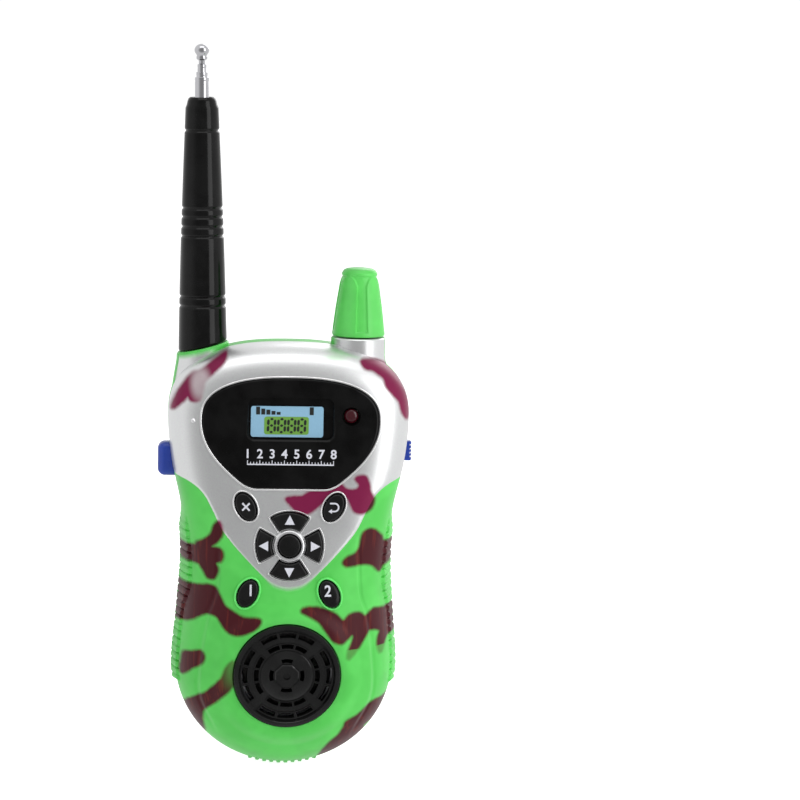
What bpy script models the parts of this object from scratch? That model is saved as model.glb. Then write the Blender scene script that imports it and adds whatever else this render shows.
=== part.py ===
"""Toy walkie talkie: one hand-held unit, modelled piece by piece.

Sizes below are in millimetres and heights are measured from the foot of the casing.
at() turns them into scene metres. The frame: +X to the right of the front, -Y out of the
front, +Z up, and the origin at the centre of the battery door's flat outer face.
"""
import math

import bmesh
import bpy
from mathutils import Matrix, Vector

MM = 0.001

# Casing
FOOT_TO_ORIGIN = 47.0      # height of the battery door's centre
CASING_HEIGHT = 138.0
PARTING_Y = -18.0          # plane where the two shells meet
SHELL = 2.0                # wall thickness
SEAM_GAP = 0.15            # half of the gap between the two shells
FOOT_LIFT = 0.8            # the rounded bottom, above the tips of its ribs
BOTTOM_ARC_HEIGHT = 34.0   # centre of the rounded bottom
BOTTOM_ARC_WIDTH = 35.0
TOP_ARC_HEIGHT = 114.0     # height of the widest place
TOP_ARC_WIDTH = 38.5
TOP_ARC_POWER = 2.5
CORE_TOP = 104.0           # upper end of the line that the casing swells around
WAIST = [(34.0, 34.8), (51.0, 33.7), (69.0, 32.6), (85.0, 34.0), (100.0, 37.2), (114.0, 38.5)]
FRONT_DEPTH = [(0.0, 17.0), (12.0, 20.2), (30.0, 22.8), (48.0, 23.6), (75.0, 21.6),
               (100.0, 19.0), (125.0, 17.2), (140.0, 16.5)]
FRONT_FLATNESS = (3.5, 6.0)   # how flat the face is, at the bottom and at the top
REAR_FLATNESS = (8.0, 8.0)
GRIP_SPAN = (28.0, 85.0)   # heights between which the side grips stand out
GRIP_RISE = 1.6
FOOT_RIBS = 10
FOOT_RIB_PITCH = 2.3
BOSS_R = 3.4               # pillars for the casing screws
RINGS = (1.0, 0.985, 0.94, 0.86, 0.74, 0.5, 0.2)   # from the casing's rim to its middle line

# Controls on the front
LENS_CENTRE = 111.0
LENS_HALF_WIDTH = 28.0
LENS_WIDEST = 114.4
LENS_TOP = 127.8
LENS_BOTTOM = 93.2
WINDOW = (-13.4, 13.3, 108.7, 121.7)   # low x, high x, low z, high z
CARD = (-12.7, 10.2, 109.3, 119.1)
LED_X, LED_Z, LED_R = 19.0, 116.2, 2.3
PAD_Z = 75.3
PAD_INNER, PAD_OUTER = 5.3, 10.9
KEY_TRAVEL = 0.8
KEY_GAP = 0.35
KEY_RISE = 1.2
OVAL_A, OVAL_B = 2.9, 4.5
KEY_HIGH_X, KEY_HIGH_Z = 13.9, 87.5
KEY_LOW_X, KEY_LOW_Z = 12.95, 60.2
BOARD_FRONT_Y, BOARD_BACK_Y = -30.0, -28.4
MEMBRANE_Y = -33.6         # front of the rubber sheet
WIRE_R = 0.45

# Speaker
SPEAKER_Z = 33.5
SPEAKER_R = 17.0
SPEAKER_TILT = 7.0        # degrees that the grille faces down
GRILLE_FACE_Y = -42.2      # centre of the grille's front
SPEAKER_FRAME_DEPTH = 4.6  # front of the speaker's basket, behind the grille's face
SPEAKER_HOLE_R = 15.6
GRILLE_LANES = (10.3, 13.5)  # radii of the rows of slots

# Antenna and knob
ANTENNA_X, ANTENNA_Y = -27.7, -15.0
ANTENNA_SPLAY = 1.1        # degrees that the antenna leans outwards
SLEEVE_BOTTOM = 135.7
SLEEVE_TOP = 214.8
KNOB_X, KNOB_Y = 22.0, -16.5
KNOB_BOTTOM, KNOB_TOP = 139.8, 161.5
KNOB_CHANNELS = 4
KNOB_CHANNEL_R = 3.1      # radius of the round cut that leaves a shallow channel
KNOB_CHANNEL_DEPTH = 0.5
KNOB_CHANNEL_TURN = 4.0   # degrees that the front channel is turned to the right
COLLAR_R = 8.7
SLEEVE_GROOVES = (68.6, 44.0, 41.2, 38.1, 35.1, 15.8, 12.8)   # heights above the sleeve's foot
TUBE_TOPS = (85.4, 87.0, 89.5)     # outer, middle and inner tube, above the sleeve's foot
TUBE_FOOT = -14.0
TIP_HEIGHT = 93.9                  # centre of the ball

# Side controls
PTT_Z = 99.6
PTT_TRAVEL = 1.8           # inwards
PTT_FLANGE = 5.6           # flange's inner face, in from the casing's side
PTT_SPRING_SPACE = 8.2     # from the button's flange to the rib behind its spring
POWER_Z = 103.0
POWER_TRAVEL = 3.0         # upwards, to switch on
POWER_FLANGE = 4.9
POWER_SWITCH_DEPTH = 6.9   # from the slider's flange to the rib behind the switch
POWER_GROOVES = 4
POWER_GROOVE_PITCH = 1.24

# Battery compartment
DOOR = (-17.0, 17.0, 17.5, 76.5)       # low x, high x, low z, high z
DOOR_CORNER = 3.5
DOOR_THICK = 1.8
DOOR_GAP = 0.3
DOOR_SCREW_Z = 73.2
LUG_Y, LUG_Z, LUG_R = -0.95, 17.0, 0.9  # axis that the door swings on
LUG_SPANS = [(-12.5, -7.5), (7.5, 12.5)]
TRAY_FLOOR_Y = -20.8
BATTERY_SIZE = (26.5, 17.5, 45.0)      # standard 9 V block, without its terminals
BATTERY_BACK_Y = -2.8
BATTERY_FOOT = 19.4
TERMINALS = [(-6.35, 2.9), (6.35, 3.9)]  # x and radius

# Fasteners: centres as (x, z)
SCREW_SPOTS = [(0.0, 130.0), (-28.0, 86.0), (28.0, 86.0), (-19.0, 12.5), (19.0, 12.5)]
PCB_SCREW_SPOTS = [(-22.0, 72.0), (22.0, 72.0)]
CLIP_SCREW_SPOTS = [(-5.0, 118.0), (5.0, 118.0)]


# ---------------------------------------------------------------- helpers

def at(x, y, z):
    """A point in scene metres from millimetres and a height above the foot."""
    return Vector((x, y, z - FOOT_TO_ORIGIN)) * MM


for old in list(bpy.data.objects):
    bpy.data.objects.remove(old, do_unlink=True)
PARTS = bpy.data.collections.new("walkie_talkie")
CUTTERS = bpy.data.collections.new("cutters")
bpy.context.scene.collection.children.link(PARTS)
bpy.context.scene.collection.children.link(CUTTERS)


def material(name, colour, roughness, metallic=0.0):
    mat = bpy.data.materials.new(name)
    mat.use_nodes = True
    shader = mat.node_tree.nodes["Principled BSDF"]
    shader.inputs["Base Color"].default_value = (*colour, 1.0)
    shader.inputs["Roughness"].default_value = roughness
    shader.inputs["Metallic"].default_value = metallic
    return mat


GREEN = material("green_plastic", (0.10, 0.75, 0.11), 0.35)
BLACK = material("black_plastic", (0.01, 0.01, 0.011), 0.18)
BLUE = material("blue_plastic", (0.018, 0.06, 0.43), 0.35)
CHROME = material("chrome", (0.78, 0.78, 0.8), 0.12, 1.0)
STEEL = material("zinc_steel", (0.6, 0.6, 0.62), 0.35, 1.0)
CARD_BLUE = material("printed_card", (0.26, 0.57, 0.84), 0.5)
LED_RED = material("led_red", (0.2, 0.01, 0.02), 0.2)
BOARD = material("circuit_board", (0.02, 0.16, 0.06), 0.5)
RUBBER = material("grey_rubber", (0.32, 0.32, 0.33), 0.7)
PAPER = material("black_paper", (0.02, 0.02, 0.02), 0.9)
BATTERY = material("battery_jacket", (0.05, 0.05, 0.06), 0.4)
BLACK_MATT = material("black_moulding", (0.02, 0.02, 0.02), 0.7)
BLUE_SLEEVE = material("blue_sleeve", (0.012, 0.033, 0.21), 0.3)
WIRE_RED = material("red_wire", (0.6, 0.02, 0.02), 0.5)
WIRE_BLACK = material("black_wire", (0.015, 0.015, 0.015), 0.5)


def add_object(name, mesh, mat, cutter=False):
    obj = bpy.data.objects.new(name, mesh)
    (CUTTERS if cutter else PARTS).objects.link(obj)
    if cutter:
        obj.hide_render = True
        obj.display_type = "WIRE"
    else:
        mesh.materials.append(mat)
        mesh.shade_smooth()
        mesh.set_sharp_from_angle(angle=math.radians(35))
    return obj


def from_bmesh(name, bm, mat, cutter=False):
    bmesh.ops.recalc_face_normals(bm, faces=bm.faces)
    mesh = bpy.data.meshes.new(name)
    bm.to_mesh(mesh)
    bm.free()
    return add_object(name, mesh, mat, cutter)


def box(name, low, high, mat=None, bevel=0.0, cutter=False):
    """A block between two corners in millimetres, its origin at its middle."""
    low, high = Vector(low), Vector(high)
    bm = bmesh.new()
    bmesh.ops.create_cube(bm, size=1.0)
    bmesh.ops.scale(bm, vec=(high - low) * MM, verts=bm.verts)
    obj = from_bmesh(name, bm, mat, cutter)
    obj.location = at(*((low + high) / 2))
    if bevel:
        round_edges(obj, bevel)
    return obj


def round_edges(obj, width, segments=2):
    bevel = obj.modifiers.new("rounded_edges", "BEVEL")
    bevel.width = width * MM
    bevel.segments = segments
    bevel.limit_method = "ANGLE"
    return bevel


def rod(name, radius, start, end, mat=None, sides=24, end_radius=None, cutter=False):
    """A cylinder or cone from start to end, with its origin at start."""
    start, end = Vector(start), Vector(end)
    bm = bmesh.new()
    length = (end - start).length
    bmesh.ops.create_cone(bm, cap_ends=True, segments=sides, radius1=radius * MM,
                          radius2=(radius if end_radius is None else end_radius) * MM,
                          depth=length * MM)
    bmesh.ops.translate(bm, vec=(0, 0, length * MM / 2), verts=bm.verts)
    obj = from_bmesh(name, bm, mat, cutter)
    obj.rotation_euler = Vector((0, 0, 1)).rotation_difference(end - start).to_euler()
    obj.location = at(*start)
    return obj


def turned(name, profile, base, direction, mat, sides=32, cutter=False):
    """A lathe shape: profile is (radius, height) from top to bottom down its outer side."""
    mesh = bpy.data.meshes.new(name)
    points = [(r * MM, 0.0, h * MM) for r, h in profile]
    closed = profile[0][0] > 0 and profile[-1][0] > 0
    edges = [(i, i + 1) for i in range(len(points) - 1)]
    if closed:
        edges.append((len(points) - 1, 0))
    mesh.from_pydata(points, edges, [])
    obj = add_object(name, mesh, mat, cutter)
    screw = obj.modifiers.new("turn", "SCREW")
    screw.steps = screw.render_steps = sides
    screw.use_merge_vertices = True
    screw.merge_threshold = 0.00001
    screw.use_smooth_shade = True
    obj.rotation_euler = Vector((0, 0, 1)).rotation_difference(Vector(direction)).to_euler()
    obj.location = at(*base)
    return obj


def loft(name, rings, mat, start_pole=None, end_pole=None, cutter=False):
    """Skins a stack of equal-length closed rings of points; the poles close its ends."""
    bm = bmesh.new()
    loops = [[bm.verts.new(at(*p)) for p in ring] for ring in rings]
    count = len(rings[0])
    for lower, upper in zip(loops, loops[1:]):
        for i in range(count):
            j = (i + 1) % count
            bm.faces.new((lower[i], lower[j], upper[j], upper[i]))
    for pole, loop in ((start_pole, loops[0]), (end_pole, loops[-1])):
        if pole is None:
            bm.faces.new(loop)
            continue
        tip = bm.verts.new(at(*pole))
        for i in range(count):
            bm.faces.new((loop[i], loop[(i + 1) % count], tip))
    return from_bmesh(name, bm, mat, cutter)


def boolean(target, tool, operation):
    mod = target.modifiers.new(f"{operation.lower()}_{tool.name}", "BOOLEAN")
    mod.object = tool
    mod.operation = operation
    mod.solver = "EXACT"


def cut(target, *tools):
    for tool in tools:
        boolean(target, tool, "DIFFERENCE")


def join(target, *tools):
    for tool in tools:
        boolean(target, tool, "UNION")


def wire(name, points, mat):
    """A round lead through a few points, as one closed tube."""
    curve = bpy.data.curves.new(name, "CURVE")
    curve.dimensions = "3D"
    curve.bevel_depth = WIRE_R * MM
    curve.bevel_resolution = 0
    curve.use_fill_caps = True
    spline = curve.splines.new("POLY")
    path = smooth_path([Vector(p) for p in points], 5)
    spline.points.add(len(path) - 1)
    for slot, p in zip(spline.points, path):
        slot.co = (*at(*p), 1.0)
    obj = bpy.data.objects.new(name, curve)
    PARTS.objects.link(obj)
    curve.materials.append(mat)
    weld = obj.modifiers.new("close_caps", "WELD")
    weld.merge_threshold = 0.00001
    return obj


def smooth_path(points, steps):
    """Points on a Catmull-Rom curve through the given ones."""
    ends = [points[0] * 2 - points[1], *points, points[-1] * 2 - points[-2]]
    path = []
    for a, b, c, d in zip(ends, ends[1:], ends[2:], ends[3:]):
        for k in range(steps):
            t = k / steps
            path.append((b * 2 + (c - a) * t + (a * 2 - b * 5 + c * 4 - d) * t * t
                         + (b * 3 - a - c * 3 + d) * t ** 3) / 2)
    return path + [points[-1]]


def blend_table(table, t):
    """Smooth interpolation through (position, value) pairs."""
    if t <= table[0][0]:
        return table[0][1]
    if t >= table[-1][0]:
        return table[-1][1]
    i = max(k for k in range(len(table) - 1) if table[k][0] <= t)
    slope = []
    for k in (i, i + 1):
        a, b = table[max(k - 1, 0)], table[min(k + 1, len(table) - 1)]
        slope.append((b[1] - a[1]) / (b[0] - a[0]) if 0 < k < len(table) - 1 else 0.0)
    (x0, y0), (x1, y1) = table[i], table[i + 1]
    h = x1 - x0
    s = (t - x0) / h
    return ((2 * s ** 3 - 3 * s ** 2 + 1) * y0 + (s ** 3 - 2 * s ** 2 + s) * h * slope[0]
            + (3 * s ** 2 - 2 * s ** 3) * y1 + (s ** 3 - s ** 2) * h * slope[1])


def smoothstep(low, high, t):
    s = min(max((t - low) / (high - low), 0.0), 1.0)
    return s * s * (3 - 2 * s)


# ---------------------------------------------------------------- casing shape

def half_width(z):
    """Half of the casing's width at a height, without the grips."""
    if z < BOTTOM_ARC_HEIGHT:
        drop = (BOTTOM_ARC_HEIGHT - z) / (BOTTOM_ARC_HEIGHT - FOOT_LIFT)
        return BOTTOM_ARC_WIDTH * math.sqrt(max(1 - drop * drop, 0.0))
    if z > TOP_ARC_HEIGHT:
        rise = (z - TOP_ARC_HEIGHT) / (CASING_HEIGHT - TOP_ARC_HEIGHT)
        return TOP_ARC_WIDTH * max(1 - rise ** TOP_ARC_POWER, 0.0) ** (1 / TOP_ARC_POWER)
    return blend_table(WAIST, z)


def grip_rise(z):
    low, high = GRIP_SPAN
    return GRIP_RISE * smoothstep(low, low + 0.8, z) * (1 - smoothstep(high - 8, high, z))


def outline():
    """Right half of the casing's outline from the foot to the crown, as (x, z)."""
    points = []
    arc_steps = 8
    for k in range(arc_steps):
        angle = math.radians(90) * k / arc_steps
        rise = (BOTTOM_ARC_HEIGHT - FOOT_LIFT) * math.cos(angle)
        points.append((BOTTOM_ARC_WIDTH * math.sin(angle), BOTTOM_ARC_HEIGHT - rise))
    for z in (29.0, 34.0, 43.0, 56.0, 69.0, 77.0, 85.0, 92.0, 100.0, 107.0):
        if z > points[-1][1] + 1:
            points.append((half_width(z) + grip_rise(z), z))
    for k in range(arc_steps + 1):
        angle = math.radians(90) * k / arc_steps
        x = TOP_ARC_WIDTH * math.cos(angle) ** (2 / TOP_ARC_POWER)
        rise = (CASING_HEIGHT - TOP_ARC_HEIGHT) * math.sin(angle) ** (2 / TOP_ARC_POWER)
        points.append((x, TOP_ARC_HEIGHT + rise))
    return points


def full_outline():
    right = outline()
    left = [(-x, z) for x, z in reversed(right[1:-1])]
    return right + left


def core_height(z):
    """Height on the casing's middle line that the outline at this height shrinks towards."""
    return min(max(z, BOTTOM_ARC_HEIGHT), CORE_TOP)


def ring_fraction(x, z):
    """0 on the casing's middle line and 1 on its outline."""
    if z < BOTTOM_ARC_HEIGHT:
        return math.hypot(x / BOTTOM_ARC_WIDTH, (z - BOTTOM_ARC_HEIGHT) / (BOTTOM_ARC_HEIGHT - FOOT_LIFT))
    if z <= CORE_TOP:
        return abs(x) / half_width(z)
    low, high = 0.0, 1.3
    for _ in range(30):
        r = (low + high) / 2
        edge_z = CORE_TOP + (z - CORE_TOP) / r
        if edge_z < CASING_HEIGHT and half_width(edge_z) * r >= abs(x):
            high = r
        else:
            low = r
    return high


def swell(z, r, flat_low, flat_high):
    """How far the shell has risen, 0 at its rim and 1 on its face."""
    upper = smoothstep(55, 100, z)
    flat = flat_low + (flat_high - flat_low) * upper
    corner = 2.0 + upper
    return max(1 - min(r, 1.0) ** flat, 0.0) ** (1 / corner)


def front_y(x, z, out=0.0):
    """Depth of the front surface, raised outwards by out."""
    depth = blend_table(FRONT_DEPTH, z) * swell(z, ring_fraction(x, z), *FRONT_FLATNESS)
    return PARTING_Y - depth - out


def shell_rings(front, inset=0.0):
    """Rings of the shell's surface from its rim to its middle line."""
    rings = []
    side = -1 if front else 1
    for r in RINGS:
        ring = []
        for x, z in full_outline():
            core = core_height(z)
            length = math.hypot(x, z - core)
            shrink = 1 - inset / length
            px, pz = x * r * shrink, core + (z - core) * r * shrink
            if front:
                depth = blend_table(FRONT_DEPTH, pz) * swell(pz, r, *FRONT_FLATNESS)
            else:
                depth = -PARTING_Y * swell(pz, r, *REAR_FLATNESS)
            ring.append((px, PARTING_Y + side * max(depth - inset, 0.0), pz))
        rings.append(ring)
    return rings


def shell_surface(bm, front, inset=0.0):
    """Adds the shell's open surface to a mesh and returns its rim."""
    loops = [[bm.verts.new(at(*p)) for p in ring] for ring in shell_rings(front, inset)]
    count = len(loops[0])
    for outer, inner in zip(loops, loops[1:]):
        for i in range(count):
            j = (i + 1) % count
            bm.faces.new((outer[i], outer[j], inner[j], inner[i]))
    last = loops[-1]
    half = count // 2
    bm.faces.new((last[0], last[1], last[count - 1]))
    for k in range(1, half - 1):
        bm.faces.new((last[k], last[k + 1], last[count - k - 1], last[count - k]))
    bm.faces.new((last[half - 1], last[half], last[half + 1]))
    return loops[0]


def casing_shell(name, front):
    bm = bmesh.new()
    shell_surface(bm, front)
    bmesh.ops.recalc_face_normals(bm, faces=bm.faces)
    middle = max(bm.faces, key=lambda f: abs(f.calc_center_median().y - PARTING_Y * MM))
    if middle.normal.y * (-1 if front else 1) < 0:
        bmesh.ops.reverse_faces(bm, faces=bm.faces)
    mesh = bpy.data.meshes.new(name)
    bm.to_mesh(mesh)
    bm.free()
    obj = add_object(name, mesh, GREEN)
    thick = obj.modifiers.new("wall", "SOLIDIFY")
    thick.thickness = SHELL * MM
    thick.offset = -1.0
    thick.use_even_offset = False
    boolean(obj, half_space(f"{name}_rim", front), "INTERSECT")
    return obj


def casing_core(name, front):
    """The casing's outer volume, a little smaller; it trims what stands inside a shell."""
    bm = bmesh.new()
    rim = shell_surface(bm, front, inset=0.8)
    bm.faces.new(rim)
    return from_bmesh(name, bm, None, cutter=True)


# ---------------------------------------------------------------- front controls

def lens_outline(grow=0.0):
    """The display panel's outline, anticlockwise from its right-hand widest point."""
    right = []
    width, rise = LENS_HALF_WIDTH + grow, LENS_TOP - LENS_WIDEST + grow
    for k in range(9):
        angle = math.radians(90) * k / 8
        right.append((width * math.cos(angle) ** 0.8, LENS_WIDEST + rise * math.sin(angle) ** 0.8))
    corner = 13.2 + grow * 0.5
    bottom = LENS_BOTTOM - grow
    curve = [(width, LENS_WIDEST), (width, 105.5), (21.5 + grow, 99.5), (corner, bottom)]
    lower = []
    for k in range(1, 8):
        t = k / 7
        weights = ((1 - t) ** 3, 3 * t * (1 - t) ** 2, 3 * t * t * (1 - t), t ** 3)
        lower.append(tuple(sum(w * p[i] for w, p in zip(weights, curve)) for i in (0, 1)))
    upper_left = [(-x, z) for x, z in reversed(right[:-1])]
    lower_left = [(-x, z) for x, z in lower]
    return right + upper_left + lower_left + list(reversed(lower))


def oval(cx, cz, lean, grow=0.0, steps=16):
    lean = math.radians(lean)
    points = []
    for k in range(steps):
        angle = 2 * math.pi * k / steps
        u, v = (OVAL_A + grow) * math.cos(angle), (OVAL_B + grow) * math.sin(angle)
        points.append((cx + u * math.cos(lean) - v * math.sin(lean),
                       cz + u * math.sin(lean) + v * math.cos(lean)))
    return points


def sector(facing, half_angle, grow=0.0, steps=7):
    """One quarter-like pad of the key ring, facing an angle in degrees."""
    points = []
    inner, outer = PAD_INNER - grow, PAD_OUTER + grow
    for radius, order in ((outer, 1), (inner, -1)):
        reach = math.radians(half_angle) + grow / radius
        for k in range(steps):
            angle = math.radians(facing) + order * reach * (2 * k / (steps - 1) - 1)
            points.append((radius * math.cos(angle), PAD_Z + radius * math.sin(angle)))
    return points


def disc(radius, grow=0.0, steps=16):
    return [((radius + grow) * math.cos(2 * math.pi * k / steps),
             PAD_Z + (radius + grow) * math.sin(2 * math.pi * k / steps)) for k in range(steps)]


KEYS = {
    "key_clear": lambda grow: oval(-KEY_HIGH_X, KEY_HIGH_Z, 28, grow),
    "key_return": lambda grow: oval(KEY_HIGH_X, KEY_HIGH_Z, -28, grow),
    "key_up": lambda grow: sector(90, 34, grow),
    "key_down": lambda grow: sector(270, 34, grow),
    "key_left": lambda grow: sector(180, 28, grow),
    "key_right": lambda grow: sector(0, 28, grow),
    "key_centre": lambda grow: disc(3.9, grow),
    "key_1": lambda grow: oval(-KEY_LOW_X, KEY_LOW_Z, -25, grow),
    "key_2": lambda grow: oval(KEY_LOW_X, KEY_LOW_Z, 25, grow),
}


def middle_of(points):
    return (sum(p[0] for p in points) / len(points), sum(p[1] for p in points) / len(points))


def key_cap(name, shape):
    """A cap that stands out of its hole, with a flange behind the casing's wall."""
    flange_front, flange_back = MEMBRANE_Y - 2.0, MEMBRANE_Y - 0.3
    body, flange = shape(0.0), shape(0.5)
    rings = [[(x, flange_back, z) for x, z in flange],
             [(x, flange_front, z) for x, z in flange],
             [(x, flange_front, z) for x, z in body],
             [(x, front_y(x, z, KEY_RISE - 0.3), z) for x, z in body]]
    top = shape(-0.3)
    rings.append([(x, front_y(x, z, KEY_RISE), z) for x, z in top])
    cx, cz = middle_of(body)
    return loft(name, rings, BLACK, start_pole=(cx, flange_back, cz),
                end_pole=(cx, front_y(cx, cz, KEY_RISE), cz))


def key_hole(name, shape):
    hole = shape(KEY_GAP)
    return loft(f"{name}_hole", [[(x, -48.0, z) for x, z in hole], [(x, -27.0, z) for x, z in hole]],
                None, cutter=True)


def panel_patch(name, layers, mat=None, cutter=False):
    """A curved plate that follows the front: layers are (grow, raise) from front to back."""
    cx, cz = 0.0, LENS_CENTRE
    rings = []
    for share in (0.4, 0.75):
        first = lens_outline(layers[0][0])
        rings.append([(x * share, 0, cz + (z - cz) * share) for x, z in first])
    front_rings = [[(x, front_y(x, z, layers[0][1]), z) for x, _, z in ring] for ring in rings]
    edge_rings = [[(x, front_y(x, z, out), z) for x, z in lens_outline(grow)] for grow, out in layers]
    last_grow, last_out = layers[-1]
    back = [[(x * s, front_y(x * s, cz + (z - cz) * s, last_out), cz + (z - cz) * s)
             for x, z in lens_outline(last_grow)] for s in (0.75, 0.4)]
    return loft(name, front_rings + edge_rings + back, mat,
                start_pole=(cx, front_y(cx, cz, layers[0][1]), cz),
                end_pole=(cx, front_y(cx, cz, last_out), cz), cutter=cutter)


# ---------------------------------------------------------------- speaker axis

SPEAKER_OUT = Vector((0, -math.cos(math.radians(SPEAKER_TILT)), -math.sin(math.radians(SPEAKER_TILT))))


def on_speaker(depth):
    """A point on the speaker's axis, depth behind the centre of the grille's face."""
    return Vector((0.0, GRILLE_FACE_Y, SPEAKER_Z)) - SPEAKER_OUT * depth


def speaker_rod(name, radius, front, back, mat=None, sides=32, cutter=False):
    return rod(name, radius, on_speaker(back), on_speaker(front), mat, sides, cutter=cutter)


# ---------------------------------------------------------------- antenna axis

ANTENNA_FOOT = Vector((ANTENNA_X, ANTENNA_Y, SLEEVE_BOTTOM))
SPLAY = math.radians(ANTENNA_SPLAY)
ANTENNA_UP = Vector((-math.sin(SPLAY), 0, math.cos(SPLAY)))


def on_antenna(height):
    """A point on the antenna's axis, height above the sleeve's foot along the axis."""
    return ANTENNA_FOOT + ANTENNA_UP * height


# ---------------------------------------------------------------- casings

def screw_bosses(name, front):
    """Solid pillars for the casing screws, trimmed to the inside of the shell."""
    pieces = []
    core = casing_core(f"{name}_core", front)
    for i, (x, z) in enumerate(SCREW_SPOTS):
        if front:
            ends = (x, PARTING_Y - 0.2, z), (x, PARTING_Y - 30, z)
        else:
            ends = (x, PARTING_Y + 0.2, z), (x, 3.0, z)
        boss = rod(f"{name}_{i}", BOSS_R, *ends, sides=16, cutter=True)
        boolean(boss, core, "INTERSECT")
        pieces.append(boss)
    return pieces


def foot_ribs(name, front):
    """The row of small ribs under the foot."""
    near, far = (PARTING_Y - SEAM_GAP, PARTING_Y - 6.0) if front else (PARTING_Y + SEAM_GAP, PARTING_Y + 6.0)
    ribs = []
    for k in range(FOOT_RIBS):
        x = (k - (FOOT_RIBS - 1) / 2) * FOOT_RIB_PITCH
        drop = math.sqrt(1 - (x / BOTTOM_ARC_WIDTH) ** 2)
        foot = BOTTOM_ARC_HEIGHT - (BOTTOM_ARC_HEIGHT - FOOT_LIFT) * drop
        ribs.append(box(f"{name}_{k}", (x - 0.5, min(near, far), foot - 0.8),
                        (x + 0.5, max(near, far), foot + 1.5), cutter=True))
    return ribs


def half_space(name, front):
    """A big block on one shell's side of the parting plane."""
    low, high = (-60.0, PARTING_Y - SEAM_GAP) if front else (PARTING_Y + SEAM_GAP, 30.0)
    return box(name, (-80, low, -20), (80, high, 200), cutter=True)


def socket_halves(name, front):
    """This shell's half of the knob collar and of the antenna socket."""
    space = half_space(f"{name}_side", front)
    collar = rod(f"{name}_collar", COLLAR_R, (KNOB_X, KNOB_Y, 129.5), (KNOB_X, KNOB_Y, KNOB_BOTTOM - 0.5),
                 sides=32, cutter=True)
    socket = rod(f"{name}_socket", 8.4, on_antenna(-12), on_antenna(-0.3), sides=32, cutter=True)
    for piece in (collar, socket):
        boolean(piece, space, "INTERSECT")
    return collar, socket


def top_bores(name):
    knob_bore = rod(f"{name}_knob_bore", 3.4, (KNOB_X, KNOB_Y, 120), (KNOB_X, KNOB_Y, 141),
                    sides=24, cutter=True)
    sleeve_bore = rod(f"{name}_sleeve_bore", 4.9, on_antenna(-30), on_antenna(5), sides=24, cutter=True)
    return knob_bore, sleeve_bore


def side_openings(name):
    """Openings in the shells' rims for the talk button and the power slider."""
    ptt = box(f"{name}_ptt", (-46, PARTING_Y - 4.2, PTT_Z - 5.8), (-30, PARTING_Y + 4.2, PTT_Z + 5.8),
              bevel=1.6, cutter=True)
    power = box(f"{name}_power", (30, PARTING_Y - 2.4, POWER_Z - 3.6),
                (46, PARTING_Y + 2.4, POWER_Z + 3.6 + POWER_TRAVEL), bevel=0.6, cutter=True)
    return ptt, power


def make_front_casing():
    casing = casing_shell("front_casing", True)
    join(casing, *screw_bosses("front_boss", True))
    for i, (x, z) in enumerate(PCB_SCREW_SPOTS):
        post = rod(f"board_post_{i}", 2.6, (x, BOARD_FRONT_Y - 0.3, z), (x, -50, z), sides=16, cutter=True)
        boolean(post, bpy.data.objects["front_boss_core"], "INTERSECT")
        join(casing, post)
    join(casing, speaker_rod("speaker_seat", SPEAKER_R + 1.3, 0.9, 6.0, cutter=True))
    join(casing, *socket_halves("front", True))
    join(casing, *foot_ribs("front_rib", True))
    cut(casing, *top_bores("front"))
    cut(casing, speaker_rod("grille_recess", SPEAKER_R + 0.3, -5.0, 2.3, cutter=True),
        speaker_rod("speaker_hole", SPEAKER_HOLE_R, -5.0, 12.0, cutter=True))
    cut(casing, panel_patch("panel_recess", [(0.3, 6.0), (0.3, -1.0)], cutter=True))
    hole = lens_outline(-1.5)
    cut(casing, loft("panel_hole", [[(x, -50.0, z) for x, z in hole], [(x, -25.0, z) for x, z in hole]],
                     None, cutter=True))
    for name, shape in KEYS.items():
        cut(casing, key_hole(name, shape))
    cut(casing, *side_openings("front"))
    for i, (x, z) in enumerate(SCREW_SPOTS):
        cut(casing, rod(f"front_pilot_{i}", 1.6, (x, PARTING_Y + 1, z), (x, PARTING_Y - 10, z),
                        sides=12, cutter=True))
    for i, (x, z) in enumerate(PCB_SCREW_SPOTS):
        cut(casing, rod(f"board_pilot_{i}", 1.3, (x, BOARD_FRONT_Y + 1, z), (x, BOARD_FRONT_Y - 6, z),
                        sides=12, cutter=True))


def switch_ribs():
    """Ribs on the back wall that stand behind the two side switches."""
    ptt = -half_width(PTT_Z) + PTT_FLANGE + PTT_SPRING_SPACE
    power = half_width(POWER_Z) - POWER_FLANGE - POWER_SWITCH_DEPTH
    return (box("ptt_rib", (ptt, PARTING_Y - 3.4, PTT_Z - 6.4), (ptt + 1.4, -1.0, PTT_Z + 6.8), cutter=True),
            box("power_rib", (power - 1.4, PARTING_Y - 2.8, POWER_Z - 6.4), (power, -1.0, POWER_Z + 7.0),
                cutter=True))


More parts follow.
